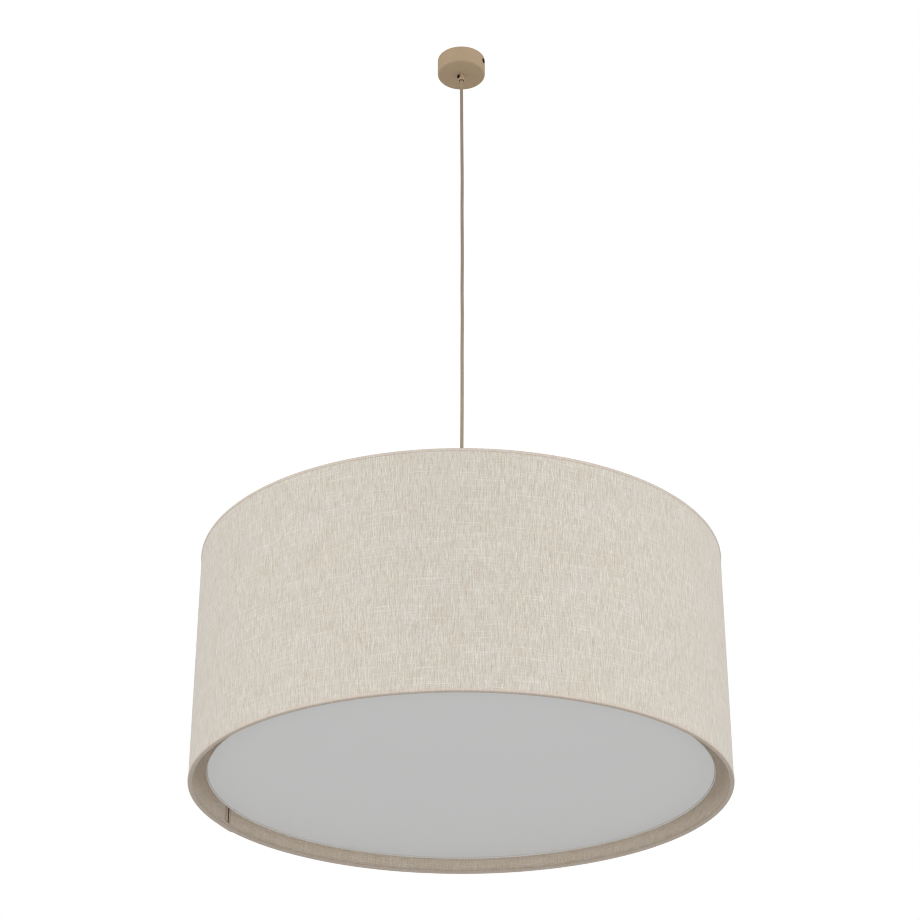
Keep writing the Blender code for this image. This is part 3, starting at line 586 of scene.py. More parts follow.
def axis_distance(tree):
    """Distance from the lamp's axis."""
    place = put(tree, "ShaderNodeTexCoord").outputs["Object"]
    level = put(tree, "ShaderNodeVectorMath", {0: place, 1: (1, 1, 0)}, operation="MULTIPLY")
    return put(tree, "ShaderNodeVectorMath", {0: level.outputs[0]},
               operation="LENGTH").outputs["Value"]


def paint_shade(material, measure, start, end, shade):
    """Paint shade into a finish: multiply it by a shade colour from one value of a measured
    place to another.
    """
    tree = material.node_tree
    shader = tree.nodes["Principled BSDF"]
    plain = shader.inputs["Base Color"].links[0].from_socket
    share = stretch(tree, measure(tree), start, end)
    tree.links.new(between(tree, share, plain, (*shade, 1), "MULTIPLY"),
                   shader.inputs["Base Color"])


finishes = {
    "linen": cloth("linen", (0.441, 0.352, 0.260), (0.922, 0.940, 0.934), Sheen_Weight=0.25,
                   Sheen_Roughness=0.4),
    "liner": cloth("liner_weave", (0.423, 0.360, 0.291), (0.813, 0.752, 0.681),
                   warp_share=1.0, warp_run=0.0055, weft_share=0.8, weft_run=0.017,
                   fuzz_share=0.5, long_share=0.5, slub_share=0.1, pick_share=0.1,
                   fleck_share=0.1, contrast=1.0),
    "textile_cord": start_finish("cord_braid", braid_group,
                                 {"Dark": (0.288, 0.229, 0.167, 1),
                                  "Light": (0.422, 0.347, 0.262, 1)},
                                 "map", (0.6, 0.0005), Roughness=0.88,
                                 Specular_IOR_Level=0.25),
    "sand_paint": coated("sand_coat", (0.459, 0.340, 0.218), 0.58, 0.70, grain=2200.0,
                         mottle=0.06, bump=(0.25, 0.0002), Specular_IOR_Level=0.2),
    "black_screw": coated("black_steel", (0.004, 0.003, 0.003), 0.60, 0.75, grain=1800.0,
                          mottle=0.2, Specular_IOR_Level=0.12),
    "zinc_steel": coated("zinc_steel", (0.60, 0.60, 0.58), 0.28, 0.42, grain=900.0,
                         mottle=0.10, Metallic=1.0),
    "white_lacquer": coated("white_lacquer", (0.80, 0.80, 0.78), 0.32, 0.42, grain=1600.0,
                            mottle=0.02),
    "white_plastic": coated("white_plastic", (0.78, 0.78, 0.76), 0.38, 0.50, grain=1400.0,
                            mottle=0.02),
    "block_plastic": coated("block_plastic", (0.70, 0.66, 0.57), 0.42, 0.55, grain=1400.0,
                            mottle=0.04),
    "brown_core": coated("brown_core", (0.15, 0.065, 0.03), 0.40, 0.52, grain=1200.0,
                         mottle=0.06),
    "blue_core": coated("blue_core", (0.03, 0.10, 0.34), 0.40, 0.52, grain=1200.0,
                        mottle=0.06),
    "green_core": coated("green_core", (0.10, 0.34, 0.06), 0.40, 0.52, grain=1200.0,
                         mottle=0.06),
    "holder_ceramic": coated("holder_glaze", (0.84, 0.83, 0.79), 0.16, 0.28, grain=400.0,
                             mottle=0.03, bump=(0.05, 0.0002)),
    "brass": coated("brass", (0.72, 0.53, 0.25), 0.24, 0.42, grain=700.0, mottle=0.14,
                    Metallic=1.0),
    "opal": coated("opal_panel", (0.735, 0.737, 0.737), 0.55, 0.65, grain=900.0,
                   mottle=0.012, bump=(0.04, 0.0002), Specular_IOR_Level=0.3),
    "band_plastic": coated("edge_band", (0.70, 0.675, 0.635), 0.45, 0.58, grain=1200.0,
                           mottle=0.04),
    "magnet": coated("magnet_nickel", (0.66, 0.65, 0.62), 0.14, 0.26, grain=500.0,
                     Metallic=1.0),
}
hem_linen = cloth("hem_linen", (0.540, 0.474, 0.418), (0.866, 0.802, 0.752), pick_share=0.05,
                  contrast=0.9)
# Painted shade: the hems grow darker from their outside, down under the rim and up the inside of
# the fold.
paint_shade(hem_linen, map_run, start=-0.0004, end=-0.0034, shade=(0.78, 0.76, 0.74))
seam_cloth = cloth("seam_cloth", (0.355, 0.290, 0.232), (0.680, 0.605, 0.545),
                   contrast=0.8)
# Painted light: the grip wears the canopy's sand paint made lighter, where it faces the front.
grip_lit_shaded_paint = coated("grip_lit_shaded_paint", (0.520, 0.385, 0.255), 0.50, 0.62, grain=2200.0,
                   bump=(0.2, 0.0002), Specular_IOR_Level=0.3)
# Painted shade inside the grip's mouth: the bore is darker.
paint_shade(grip_lit_shaded_paint, axis_distance, start=grip_mouth_bore + 0.0003, end=grip_funnel_bore,
       shade=(0.42, 0.38, 0.35))
# Painted shadow: the dark colour of the strip in the seam's slit.
slit_shadow_paint = coated("slit_shadow_paint", (0.060, 0.042, 0.030), 0.8, 0.9, grain=900.0, mottle=0.2)


# Shapes

def outline(work, corners, rounds, closed, segments=5):
    """Draw an outline of (radius, height) corners and round those that have a radius."""
    points = [work.verts.new((radius, 0, height)) for radius, height in corners]
    pairs = list(zip(points, points[1:]))
    if closed:
        pairs.append((points[-1], points[0]))
    for pair in pairs:
        work.edges.new(pair)
    for radius in sorted(set(rounds.values())):
        chosen = [points[index] for index, value in rounds.items() if value == radius]
        bmesh.ops.bevel(work, geom=chosen, offset=radius, affect="VERTICES",
                        segments=segments, profile=0.5, material=-1)


def sweep(work, steps, angle=2 * pi, rise=0.0, whole=True):
    """Spin an outline about Z. A whole turn closes on itself."""
    bmesh.ops.spin(work, geom=work.verts[:] + work.edges[:], cent=(0, 0, 0), axis=(0, 0, 1),
                   dvec=(0, 0, rise), angle=angle, steps=steps, use_merge=whole)


def lathe(corners, rounds=None, closed=True, steps=body_steps, segments=5):
    """Turn an outline about Z. An open outline starts and ends on the axis."""
    work = bmesh.new()
    outline(work, corners, rounds or {}, closed, segments)
    sweep(work, steps)
    bmesh.ops.remove_doubles(work, verts=work.verts, dist=merge)
    return work


def move(work, matrix):
    """Put a shape in its place."""
    bmesh.ops.transform(work, matrix=matrix, verts=work.verts)
    return work


def radial(azimuth, height, reach=0.0):
    """Placement of a shape made on the Z axis that then points outward at an azimuth."""
    return (Matrix.Translation((0, 0, height)) @ Matrix.Rotation(azimuth, 4, "Z")
            @ Matrix.Translation((reach, 0, 0)) @ Matrix.Rotation(pi / 2, 4, "Y"))


def cylinder(radius, depth, place, sides=small_steps):
    """A closed cylinder or prism about its own Z axis."""
    work = bmesh.new()
    bmesh.ops.create_cone(work, cap_ends=True, segments=sides, radius1=radius,
                          radius2=radius, depth=depth, matrix=place)
    return work


def close_ends(work):
    """Put a face on each open end."""
    bmesh.ops.holes_fill(work, edges=[edge for edge in work.edges if edge.is_boundary])


def face_out(work):
    """Turn all faces of closed shells outward."""
    bmesh.ops.remove_doubles(work, verts=work.verts, dist=merge)
    bmesh.ops.recalc_face_normals(work, faces=work.faces)
    if work.calc_volume(signed=True) < 0:
        bmesh.ops.reverse_faces(work, faces=work.faces)


def plain_object(name, work):
    """A bmesh as an object without a finish."""
    mesh = bpy.data.meshes.new(name)
    work.to_mesh(mesh)
    work.free()
    item = bpy.data.objects.new(name, mesh)
    bpy.context.scene.collection.objects.link(item)
    return item


def taken_off(item):
    """The finished shape of a helper object as a bmesh."""
    graph = bpy.context.evaluated_depsgraph_get()
    shaped = bpy.data.meshes.new_from_object(item.evaluated_get(graph))
    work = bmesh.new()
    work.from_mesh(shaped)
    bpy.data.meshes.remove(shaped)
    return work


def drilled(work, *tools):
    """Cut tools out of a shape."""
    face_out(work)
    item = plain_object("blank", work)
    cutters = []
    for tool in tools:
        face_out(tool)
        cutters.append(plain_object("cutter", tool))
        modifier = item.modifiers.new("cut", "BOOLEAN")
        modifier.object = cutters[-1]
    result = taken_off(item)
    for spent in (item, *cutters):
        bpy.data.objects.remove(spent, do_unlink=True)
    return result


def settle(name, work, node=None, finish=None, body=None, slot=None, angle=32, closed=True):
    """Make a shape the piece that stands for its CAD node, in its body and finish."""
    if closed:
        face_out(work)
    slot = slot or slot_of[node]
    piece = plain_object(name, work)
    piece.data.shade_smooth()
    piece.data.set_sharp_from_angle(angle=radians(angle))
    piece.data.materials.append(finish or finishes[slot])
    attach(piece, body or body_of[node])
    if node:
        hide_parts(node)
    return piece


def wrap_map(piece, azimuth, spot):
    """Map a round piece from the azimuth of each corner, with no face torn where it starts."""
    layer = piece.data.uv_layers.new(name="cloth")
    spots = piece.data.vertices
    for face in piece.data.polygons:
        places = [spots[piece.data.loops[corner].vertex_index].co
                  for corner in face.loop_indices]
        turns = [azimuth(place) % (2 * pi) for place in places]
        crossing = max(turns) > pi + min(turns)
        for corner, place, turn in zip(face.loop_indices, places, turns):
            if crossing and turn < pi:
                turn += 2 * pi
            layer.data[corner].uv = spot(turn, place)


def cloth_map(piece, profile=lambda place: place.z - rim_low):
    """Map a turned cloth in metres: round the lamp, and along its own outline."""
    wrap_map(piece, lambda place: atan2(place.y, place.x) - seam_azimuth,
             lambda turn, place: (turn * shade_radius, profile(place)))


def cord_map(piece, line):
    """Map a cord: once round it, and along it in metres."""
    def azimuth(place):
        middle = min(line, key=lambda point: abs(point.z - place.z))
        return atan2(place.y - middle.y, place.x - middle.x)
    wrap_map(piece, azimuth, lambda turn, place: (turn / (2 * pi), place.z))


def dressed(node, width=0.0, angle=32):
    """A finer copy of a CAD node: merged, with its sharp edges eased by a width."""
    work = bmesh.new()
    work.from_mesh(frame["nodes"][node].data)
    bmesh.ops.remove_doubles(work, verts=work.verts, dist=weld)
    bmesh.ops.dissolve_limit(work, angle_limit=radians(1), verts=work.verts,
                             edges=work.edges)
    if width:
        sharp = [edge for edge in work.edges
                 if len(edge.link_faces) == 2 and edge.calc_face_angle(0) > radians(45)]
        bmesh.ops.bevel(work, geom=sharp, offset=width, affect="EDGES", segments=2,
                        profile=0.5, material=-1, clamp_overlap=True)
    return settle(node + "_dressed", work, node, angle=angle)


def smooth_line(places, step):
    """Points along a smooth curve through the places."""
    places = [Vector(place) for place in places]
    ends = [2 * places[0] - places[1]] + places + [2 * places[-1] - places[-2]]
    points = []
    for before, start, end, after in zip(ends, ends[1:], ends[2:], ends[3:]):
        count = max(1, round((end - start).length / step))
        for index in range(count):
            part = index / count
            points.append(0.5 * (2 * start + (end - before) * part
                                 + (2 * before - 5 * start + 4 * end - after) * part ** 2
                                 + (3 * start - before - 3 * end + after) * part ** 3))
    return points + [places[-1]]


def wire(points, radius, shares=None):
    """A round wire along points, as a shape with closed ends."""
    curve = bpy.data.curves.new("wire", "CURVE")
    curve.dimensions = "3D"
    curve.bevel_depth = radius
    curve.bevel_resolution = wire_rounding
    curve.use_fill_caps = True
    spline = curve.splines.new("POLY")
    spline.points.add(len(points) - 1)
    for index, place in enumerate(points):
        spline.points[index].co = (*place, 1)
        spline.points[index].radius = shares[index] if shares else 1
    item = bpy.data.objects.new("wire", curve)
    bpy.context.scene.collection.objects.link(item)
    work = taken_off(item)
    bpy.data.objects.remove(item, do_unlink=True)
    bpy.data.curves.remove(curve)
    return work


# Camera

def set_camera():
    """The viewpoint of the photograph: near the floor, looking up at the lamp."""
    level = Vector((sin(camera_yaw), cos(camera_yaw), 0))
    right = Vector((cos(camera_yaw), -sin(camera_yaw), 0))
    ahead = level * cos(camera_pitch) + Vector((0, 0, sin(camera_pitch)))
    above = -level * sin(camera_pitch) + Vector((0, 0, cos(camera_pitch)))
    across = right * cos(camera_roll) + above * sin(camera_roll)
    upward = above * cos(camera_roll) - right * sin(camera_roll)
    data = bpy.data.cameras.new("photo_view")
    data.lens = camera_lens
    data.sensor_width = 36
    data.clip_end = 100
    camera = bpy.data.objects.new("photo_view", data)
    bpy.context.scene.collection.objects.link(camera)
    turn = Matrix((across, upward, -ahead)).transposed().to_4x4()
    camera.matrix_world = Matrix.Translation(camera_place) @ turn
    bpy.context.scene.camera = camera


# Cord

def make_cords():
    """The textile cord: the stretch down to the housing, the bend and the clamped tail."""
    tips = [(share * cord_radius, sqrt(1 - share * share)) for share in cord_tip_shares]
    foot = cord_top + cord_radius + gap
    points = [Vector((0, 0, foot)), Vector((0, 0, bend_top))]
    points += [Vector((0, 0, bend_top + rise)) for rise, _ in reversed(tips)]
    shares = [1, 1] + [share for _, share in reversed(tips)]
    bend = settle("bending_cord_braid", wire(points, cord_radius, shares), "cord_bend",
                  angle=60)
    cord_map(bend, points)
    line = smooth_line(cord_places, cord_step)
    points = [Vector((0, 0, cord_top + rise)) for rise, _ in tips] + line
    shares = [share for _, share in tips] + [1] * len(line)
    hanging = settle("hanging_cord_braid", wire(points, cord_radius, shares), "power_cord",
                     angle=60)
    cord_map(hanging, points)
    low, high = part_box("cord_tail")
    points = [Vector((0, 0, low.z)), Vector((0, 0, high.z))]
    tail = settle("clamped_cord_braid", wire(points, cord_radius), "cord_tail", angle=60)
    cord_map(tail, points)


# Shade

def fold_run(place, rim, up):
    """Distance round a trim from its outside, down under the rim and up the inside."""
    turn = atan2(up * (rim - place.z) + fold_height, Vector(place.xy).length - trim_middle)
    if turn < -pi / 2:
        turn += 2 * pi
    return -fold_radius * turn


def make_shade_walls():
    """The linen outside and the woven film inside it, with the trims rolled over the rings."""
    low = rim_low + wall_inset
    high = rim_high - wall_inset
    for name, inner, outer, node in (
            ("linen_wall", fabric_inner, shade_radius, "shade_fabric"),
            ("woven_film", liner_inner, liner_outer, "shade_liner")):
        wall = settle(name, lathe(((inner, low), (outer, low), (outer, high), (inner, high)),
                                  steps=wide_steps), node)
        cloth_map(wall)

    edge = trim_outer - trim_lean
    under = trim_bend - trim_thickness
    for name, node, rim, up, height in (
            ("lower_hem", "bottom_trim", rim_low, 1, low_trim_inner_height),
            ("upper_hem", "top_trim", rim_high, -1, high_trim_inner_height)):
        corners = [(edge, trim_outer_height), (trim_outer, 0), (trim_inner, 0)]
        if up > 0:
            lip = liner_inner - gap
            rounds = {0: trim_end_round, 1: trim_bend, 2: trim_bend, 3: low_lip_bend,
                      4: low_lip_edge, 6: low_lip_under, 7: under, 8: under}
            corners += [(trim_inner, height), (lip, height), (lip, height - trim_thickness),
                        (trim_inner + trim_thickness, height - trim_thickness)]
        else:
            rounds = {0: trim_end_round, 1: trim_bend, 2: high_trim_bend, 3: trim_end_round,
                      5: high_trim_under, 6: under}
            corners += [(trim_inner, height), (trim_inner + trim_thickness, height)]
        corners += [(trim_inner + trim_thickness, trim_thickness),
                    (trim_outer - trim_thickness, trim_thickness),
                    (edge - trim_thickness, trim_outer_height)]
        placed = tuple((radius, rim + up * rise) for radius, rise in corners)
        hem = settle(name, lathe(placed, rounds, steps=wide_steps), node, finish=hem_linen)
        cloth_map(hem, lambda place: fold_run(place, rim, up))


def make_seam():
    """The tape over the film's seam, and a dark strip down its middle that is painted shadow in
    the slit.
    """
    low = rim_low + seam_clearance
    high = rim_high - seam_clearance
    outer = liner_inner - seam_stand_off
    # The second row is a dark strip of painted shadow, for the shade in the slit between the
    # film's edges.
    for name, width, depth, shift, node, finish in (
            ("seam_tape", seam_width, seam_thickness, 0.0, "shade_seam", seam_cloth),
            ("seam_slit_shadow", slit_width, slit_depth, slit_shift, None, slit_shadow_paint)):
        work = bmesh.new()
        bmesh.ops.create_cube(work, size=1)
        move(work, Matrix.Rotation(seam_azimuth, 4, "Z")
             @ Matrix.Translation((outer - depth / 2, shift, (low + high) / 2))
             @ Matrix.Diagonal((depth, width, high - low, 1)))
        bmesh.ops.bevel(work, geom=work.edges[:], offset=depth / 4, affect="EDGES",
                        segments=2, profile=0.5, material=-1)
        cloth_map(settle(name, work, node, finish=finish, body="shade", slot="liner"))


def make_hem_lap():
    """The lower hem's end, which lies over its beginning beside the seam and sinks into it."""
    low = rim_low
    high = rim_low + trim_outer_height - lap_drop
    middle_height = rim_low + trim_bend
    work = bmesh.new()
    outline(work, ((trim_outer + lap_inner, high), (trim_outer + lap_inner, low - lap_inner),
                   (trim_inner - lap_inner, low - lap_inner), (trim_inner - lap_inner, high),
                   (trim_inner - lap_outer, high), (trim_inner - lap_outer, low - lap_outer),
                   (trim_outer + lap_outer, low - lap_outer), (trim_outer + lap_outer, high)),
            {1: trim_bend, 2: trim_bend, 5: lap_bend, 6: lap_bend, 0: ease, 3: ease,
             4: ease, 7: ease}, True)
    move(work, Matrix.Rotation(lap_start, 4, "Z"))
    sweep(work, lap_steps, lap_run, whole=False)
    close_ends(work)
    for vert in work.verts:
        sunk = 1 - lap_sink * (atan2(vert.co.y, vert.co.x) - lap_start) / lap_run
        reach = Vector(vert.co.xy).length
        vert.co.xy *= (trim_middle + (reach - trim_middle) * sunk) / reach
        vert.co.z = middle_height + (vert.co.z - middle_height) * sunk
    lap = settle("hem_lap", work, finish=hem_linen, body="shade", slot="linen")
    cloth_map(lap, lambda place: fold_run(place, rim_low, 1))


def make_rings():
    """The two wire rings in the folds of the trims."""
    for node, rim, up in (("bottom_ring", rim_low, 1), ("top_ring", rim_high, -1)):
        work = bmesh.new()
        height = rim + up * (trim_thickness + gap + ring_wire / 2)
        bmesh.ops.create_circle(work, segments=ring_sides, radius=ring_wire / 2, matrix=(
            Matrix.Translation((ring_radius, 0, height)) @ Matrix.Rotation(pi / 2, 4, "X")))
        sweep(work, wide_steps)
        settle(node + "_wire", work, node)


def spoke_line(azimuth):
    """Centre line of a spoke from its socket in the hub, round its bend, to the top ring."""
    stand_off = ring_wire / 2 + gap
    ring_height = rim_high - trim_thickness - gap - ring_wire / 2
    end = Vector((ring_radius - stand_off * cos(spoke_rise),
                  ring_height - stand_off * sin(spoke_rise)))
    corner = end.x - (end.y - hub_centre)
    centre = corner - spoke_bend * sin(spoke_rise) / (1 + cos(spoke_rise))
    places = [(hub_radius - spoke_socket_depth + gap, hub_centre), (hub_radius, hub_centre)]
    for step in range(spoke_bend_steps + 1):
        turn = -pi / 2 + spoke_rise * step / spoke_bend_steps
        places.append((centre + spoke_bend * cos(turn),
                       hub_centre + spoke_bend + spoke_bend * sin(turn)))
    places.append((end.x, end.y))
    return [Vector((radius * cos(azimuth), radius * sin(azimuth), height))
            for radius, height in places]


def make_spider():
    """The hub with its four drilled sockets, and the bent spokes."""
    hub = lathe(((stem_bore, hub_low), (hub_radius, hub_low), (hub_radius, hub_high),
                 (stem_bore, hub_high)),
                {1: hub_edge, 2: hub_edge, 0: hub_bore_edge, 3: hub_bore_edge})
    drill_start = hub_radius - spoke_socket_depth
    drill_end = hub_radius + drill_overrun
    drills = [move(lathe(((0, drill_start), (spoke_socket_radius, drill_start),
                          (spoke_socket_radius, drill_end), (0, drill_end)),
                         closed=False, steps=small_steps), radial(azimuth, hub_centre))
              for azimuth in spoke_azimuths]
    settle("spider_hub_turned", drilled(hub, *drills), "spider_hub")
    for number, azimuth in enumerate(spoke_azimuths, 1):
        settle("spoke_%d_wire" % number, wire(spoke_line(azimuth), spoke_radius),
               "spoke_%d" % number, angle=50)


def flute(work, low, high, radius, depth):
    """Press grip flutes into the round face between two heights."""
    for vert in work.verts:
        reach = Vector(vert.co.xy).length
        if low < vert.co.z < high and reach > radius - depth / 2:
            wave = 0.5 - 0.5 * cos(flutes * atan2(vert.co.y, vert.co.x))
            vert.co.xy *= 1 - depth * wave / reach


def make_gland():
    """The gland on the hub: flange, fluted dome nut and stem."""
    seat = hub_high + gap
    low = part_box("hub_gland")[0].z
    flange_high = seat + gland_flange_height
    work = lathe(((cord_bore, low), (stem_radius, low), (stem_radius, seat),
                  (gland_flange_radius, seat), (gland_flange_radius, flange_high),
                  (gland_shoulder_radius, flange_high),
                  (gland_shoulder_radius, seat + gland_flute_low),
                  (gland_shoulder_radius, seat + gland_flute_high),
                  (gland_shoulder_radius, seat + gland_shoulder_height),
                  (gland_tip_radius, seat + gland_height), (cord_bore, seat + gland_height)),
                 {3: gland_low_edge, 4: gland_flange_edge, 8: gland_shoulder_round,
                  9: gland_tip_round, 10: ease})
    flute(work, seat + gland_flute_low - gap, seat + gland_flute_high + gap,
          gland_shoulder_radius, gland_flute_depth)
    settle("hub_gland_moulded", work, "hub_gland")


def make_housing():
    """The drawn housing of the lampholders and its cover."""
    inner = housing_radius - housing_wall
    ceiling = housing_high - housing_wall
    settle("lamp_housing_drawn", lathe((
        (inner, housing_low), (housing_radius, housing_low), (housing_radius, housing_high),
        (stem_bore, housing_high), (stem_bore, ceiling), (inner, ceiling)),
        {2: housing_edge, 5: housing_edge - housing_wall, 0: ease, 1: ease}), "lamp_housing")
    cover = housing_low - gap
    spigot = inner - gap
    settle("housing_cover_drawn", lathe((
        (0, cover), (spigot - housing_wall, cover),
        (spigot - housing_wall, cover + spigot_height), (spigot, cover + spigot_height),
        (spigot, cover), (housing_radius, cover), (housing_radius, cover - housing_wall),
        (0, cover - housing_wall)), {5: ease, 6: cover_edge}, closed=False),
           "housing_cover")


def socket_screw(diameter, height, shank, length, key):
    """A low round head with a hexagon socket, its shank going down from z = 0."""
    head = lathe(((0, -length), (shank, -length), (shank, 0), (diameter / 2, 0),
                  (diameter / 2, height), (0, height)),
                 {4: height * head_round_share, 1: ease}, closed=False, steps=small_steps)
    centre = Matrix.Translation((0, 0, height * socket_centre_share))
    return drilled(head, cylinder(key, height, centre, sides=6))


def make_screws():
    """The black canopy and grip screws, and the plated cover and earth screws."""
    canopy_reach = canopy_radius + gap
    low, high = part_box("earth_screw")
    middle = (low + high) / 2
    for node, sizes, place in (
            ("canopy_screw_right", canopy_screw,
             radial(screw_azimuth, -screw_drop, canopy_reach)),
            ("canopy_screw_left", canopy_screw,
             radial(screw_azimuth + pi, -screw_drop, canopy_reach)),
            ("grip_screw", grip_screw,
             radial(grip_screw_azimuth, canopy_face - grip_screw_drop, grip_radius + gap)),
            ("cover_screw", cover_screw,
             radial(cover_screw_azimuth, housing_low + cover_screw_rise,
                    housing_radius + gap)),
            ("earth_screw", earth_screw,
             Matrix.Translation((middle.x, middle.y, -(strap_thickness + gap)))
             @ Matrix.Rotation(pi, 4, "X"))):
        settle(node + "_socket", move(socket_screw(**sizes), place), node)


# Lampholders

def threaded_sleeve():
    """The brass sleeve with its rolled screw thread and its turned-in foot."""
    work = bmesh.new()
    points = [work.verts.new((
        sleeve_root + (sleeve_crest - sleeve_root) * (0.5 + 0.5 * cos(2 * pi * share)), 0,
        sleeve_seat - thread_pitch + thread_pitch * share))
        for share in (0, 0.15, 0.35, 0.5, 0.65, 0.85, 1)]
    for pair in zip(points, points[1:]):
        work.edges.new(pair)
    sweep(work, small_steps * thread_turns, 2 * pi * thread_turns, thread_pitch / small_steps,
          whole=False)
    bmesh.ops.remove_doubles(work, verts=work.verts, dist=weld)
    for height, upper in ((sleeve_cut_low, False), (sleeve_cut_high, True)):
        bmesh.ops.bisect_plane(work, geom=work.verts[:] + work.edges[:] + work.faces[:],
                               dist=merge, plane_co=(0, 0, sleeve_seat + height),
                               plane_no=(0, 0, 1), clear_outer=upper, clear_inner=not upper)
    foot = [edge for edge in work.edges if edge.is_boundary
            and max(vert.co.z for vert in edge.verts) < sleeve_seat + sleeve_foot_reach]
    grown = bmesh.ops.extrude_edge_only(work, edges=foot)["geom"]
    for vert in (item for item in grown if isinstance(item, bmesh.types.BMVert)):
        vert.co.xy *= sleeve_hole / Vector(vert.co.xy).length
    bmesh.ops.recalc_face_normals(work, faces=work.faces)
    bmesh.ops.solidify(work, geom=work.faces[:], thickness=sleeve_wall)
    return work


def make_lampholders():
    """Four lampholders with their hollow bolts, threaded sleeves and contacts."""
    back, belt, mouth, floor = holder_back, holder_belt, holder_mouth, holder_floor
    ridges = []
    for turn in range(ridge_count):
        low = belt + ridge_start + turn * ridge_pitch
        ridges += [(ridge_crest, low), (ridge_root, low + ridge_slope_end),
                   (ridge_root, low + ridge_slope_start), (ridge_crest, low + ridge_end)]
    corners = [(0, holder_end), (stem_bore, holder_end), (stem_bore, back),
               (holder_neck_radius, back), (holder_neck_radius, back + holder_neck_length),
               (holder_shoulder_radius, back + holder_shoulder_length),
               (holder_radius, holder_dome), (holder_radius, holder_dome + holder_waist_start),
               (holder_radius, belt - holder_waist_end), (holder_radius, belt),
               (holder_step_radius, belt + holder_step_length)]
    corners += ridges + [(holder_mouth_radius, mouth), (holder_mouth_bore, mouth),
                         (holder_mouth_bore, floor), (0, floor)]
    last = len(corners) - 1
    for side, azimuth in holder_azimuths.items():
        place = radial(azimuth, holder_centre)
        holder = lathe(corners, {5: holder_dome_round, 6: holder_dome_round,
                                 9: holder_belt_edge, last - 3: holder_belt_edge,
                                 last - 2: holder_lip_edge}, closed=False)
        flute(holder, holder_dome + holder_flute_start, belt - holder_flute_end,
              holder_radius, holder_flute_depth)
        settle("lampholder_%s_glazed" % side, move(holder, place), "lampholder_" + side)
        settle("socket_sleeve_%s_rolled" % side, move(threaded_sleeve(), place),
               "socket_sleeve_" + side, closed=False, angle=50)
        seat = sleeve_seat
        foot = seat + contact_foot_height
        contact = lathe(((0, seat), (contact_radius, seat), (contact_radius, foot),
                         (contact_tip_radius, foot),
                         (contact_tip_radius, seat + contact_side_height),
                         (0, seat + contact_height)),
                        {2: ease, 3: contact_foot_round, 4: contact_tip_round},
                        closed=False, steps=small_steps)
        settle("socket_contact_%s_sprung" % side, move(contact, place),
               "socket_contact_" + side)
        dressed("holder_bolt_" + side, bolt_edge)


# Diffuser and what carries it

def make_posts():
    """The posts that hang on the spokes, with their magnets."""
    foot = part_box("diffuser_post_1")[0].z
    for number, azimuth in enumerate(spoke_azimuths, 1):
        place = Matrix.Translation((keeper_radius * cos(azimuth), keeper_radius * sin(azimuth),
                                    0)) @ Matrix.Rotation(azimuth, 4, "Z")
        post = lathe(((0, post_head_high), (post_head_radius, post_head_high),
                      (post_head_radius, post_head_low),
                      (post_radius, post_head_low - post_taper),
                      (post_radius, foot + post_taper), (post_foot_radius, foot + post_taper),
                      (post_foot_radius, foot), (0, foot)),
                     {1: post_head_edge, 2: post_shoulder_edge, 4: post_foot_bend,
                      5: post_foot_edge, 6: ease}, closed=False, steps=small_steps)
        drill = cylinder(post_drill_radius, post_drill_length,
                         Matrix.Translation((0, 0, hub_centre))
                         @ Matrix.Rotation(pi / 2, 4, "Y"))
        settle("diffuser_post_%d_turned" % number, move(drilled(post, drill), place),
               "diffuser_post_%d" % number)
        low, high = (corner.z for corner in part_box("post_magnet_%d" % number))
        magnet = lathe(((0, low), (post_foot_radius, low), (post_foot_radius, high),
                        (0, high)), {1: magnet_edge, 2: magnet_edge}, closed=False,
                       steps=small_steps)
        settle("post_magnet_%d_plated" % number, move(magnet, place),
               "post_magnet_%d" % number)


def make_diffuser():
    """The satin panel, the strip round its edge with its joint, and the steel ring."""
    settle("opal_disc", lathe(((0, panel_low), (panel_radius, panel_low),
                               (panel_radius, panel_high), (0, panel_high)),
                              {1: panel_edge, 2: panel_edge}, closed=False, steps=wide_steps),
           "diffuser_panel")
    rounds = dict.fromkeys(range(4), band_round)
    inner = band_radius - band_thickness
    high = panel_high + band_rise
    work = bmesh.new()
    outline(work, ((inner, band_low), (band_radius, band_low), (band_radius, high),
                   (inner, high)), rounds, True, 2)
    move(work, Matrix.Rotation(band_joint - 2 * pi + band_opening, 4, "Z"))
    sweep(work, 2 * wide_steps, 2 * pi - band_opening, whole=False)
    close_ends(work)
    for vert in work.verts:
        before = (band_joint - atan2(vert.co.y, vert.co.x)) % (2 * pi)
        if before < band_lift_run:
            vert.co.xy *= 1 + band_lift * (1 - before / band_lift_run) ** 2
    settle("edge_strip", work, "diffuser_band")
    low, high = (corner.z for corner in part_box("keeper_ring"))
    inner = keeper_radius - keeper_half_width
    outer = keeper_radius + keeper_half_width
    settle("keeper_ring_cut", lathe(((inner, low), (outer, low), (outer, high), (inner, high)),
                                    rounds, steps=wide_steps, segments=2), "keeper_ring")


# Ceiling part

def make_canopy():
    """The drawn canopy with its rolled lower edge, and the cord grip under it."""
    inner = canopy_radius - canopy_wall
    floor = canopy_face + canopy_wall
    settle("canopy_drawn", lathe((
        (stem_bore, floor), (stem_bore, canopy_face), (canopy_radius, canopy_face),
        (canopy_radius, canopy_rim), (inner, canopy_rim), (inner, floor)),
        {2: canopy_edge, 5: canopy_edge - canopy_wall, 3: canopy_rim_edge,
         4: canopy_rim_edge}, steps=canopy_steps, segments=8), "ceiling_canopy")
    bore_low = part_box("cord_tail")[0].z
    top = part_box("cord_grip")[1].z
    grip = lathe(((grip_mouth_bore, grip_mouth), (grip_radius, grip_mouth),
                  (grip_radius, grip_seat), (stem_radius, grip_seat), (stem_radius, top),
                  (cord_bore, top), (cord_bore, bore_low), (grip_throat, bend_top),
                  (grip_funnel_bore, grip_funnel_top)),
                 {0: ease, 1: grip_low_edge, 2: grip_high_edge}, steps=grip_steps)
    settle("cord_grip_turned", grip, "cord_grip", finish=grip_lit_shaded_paint)


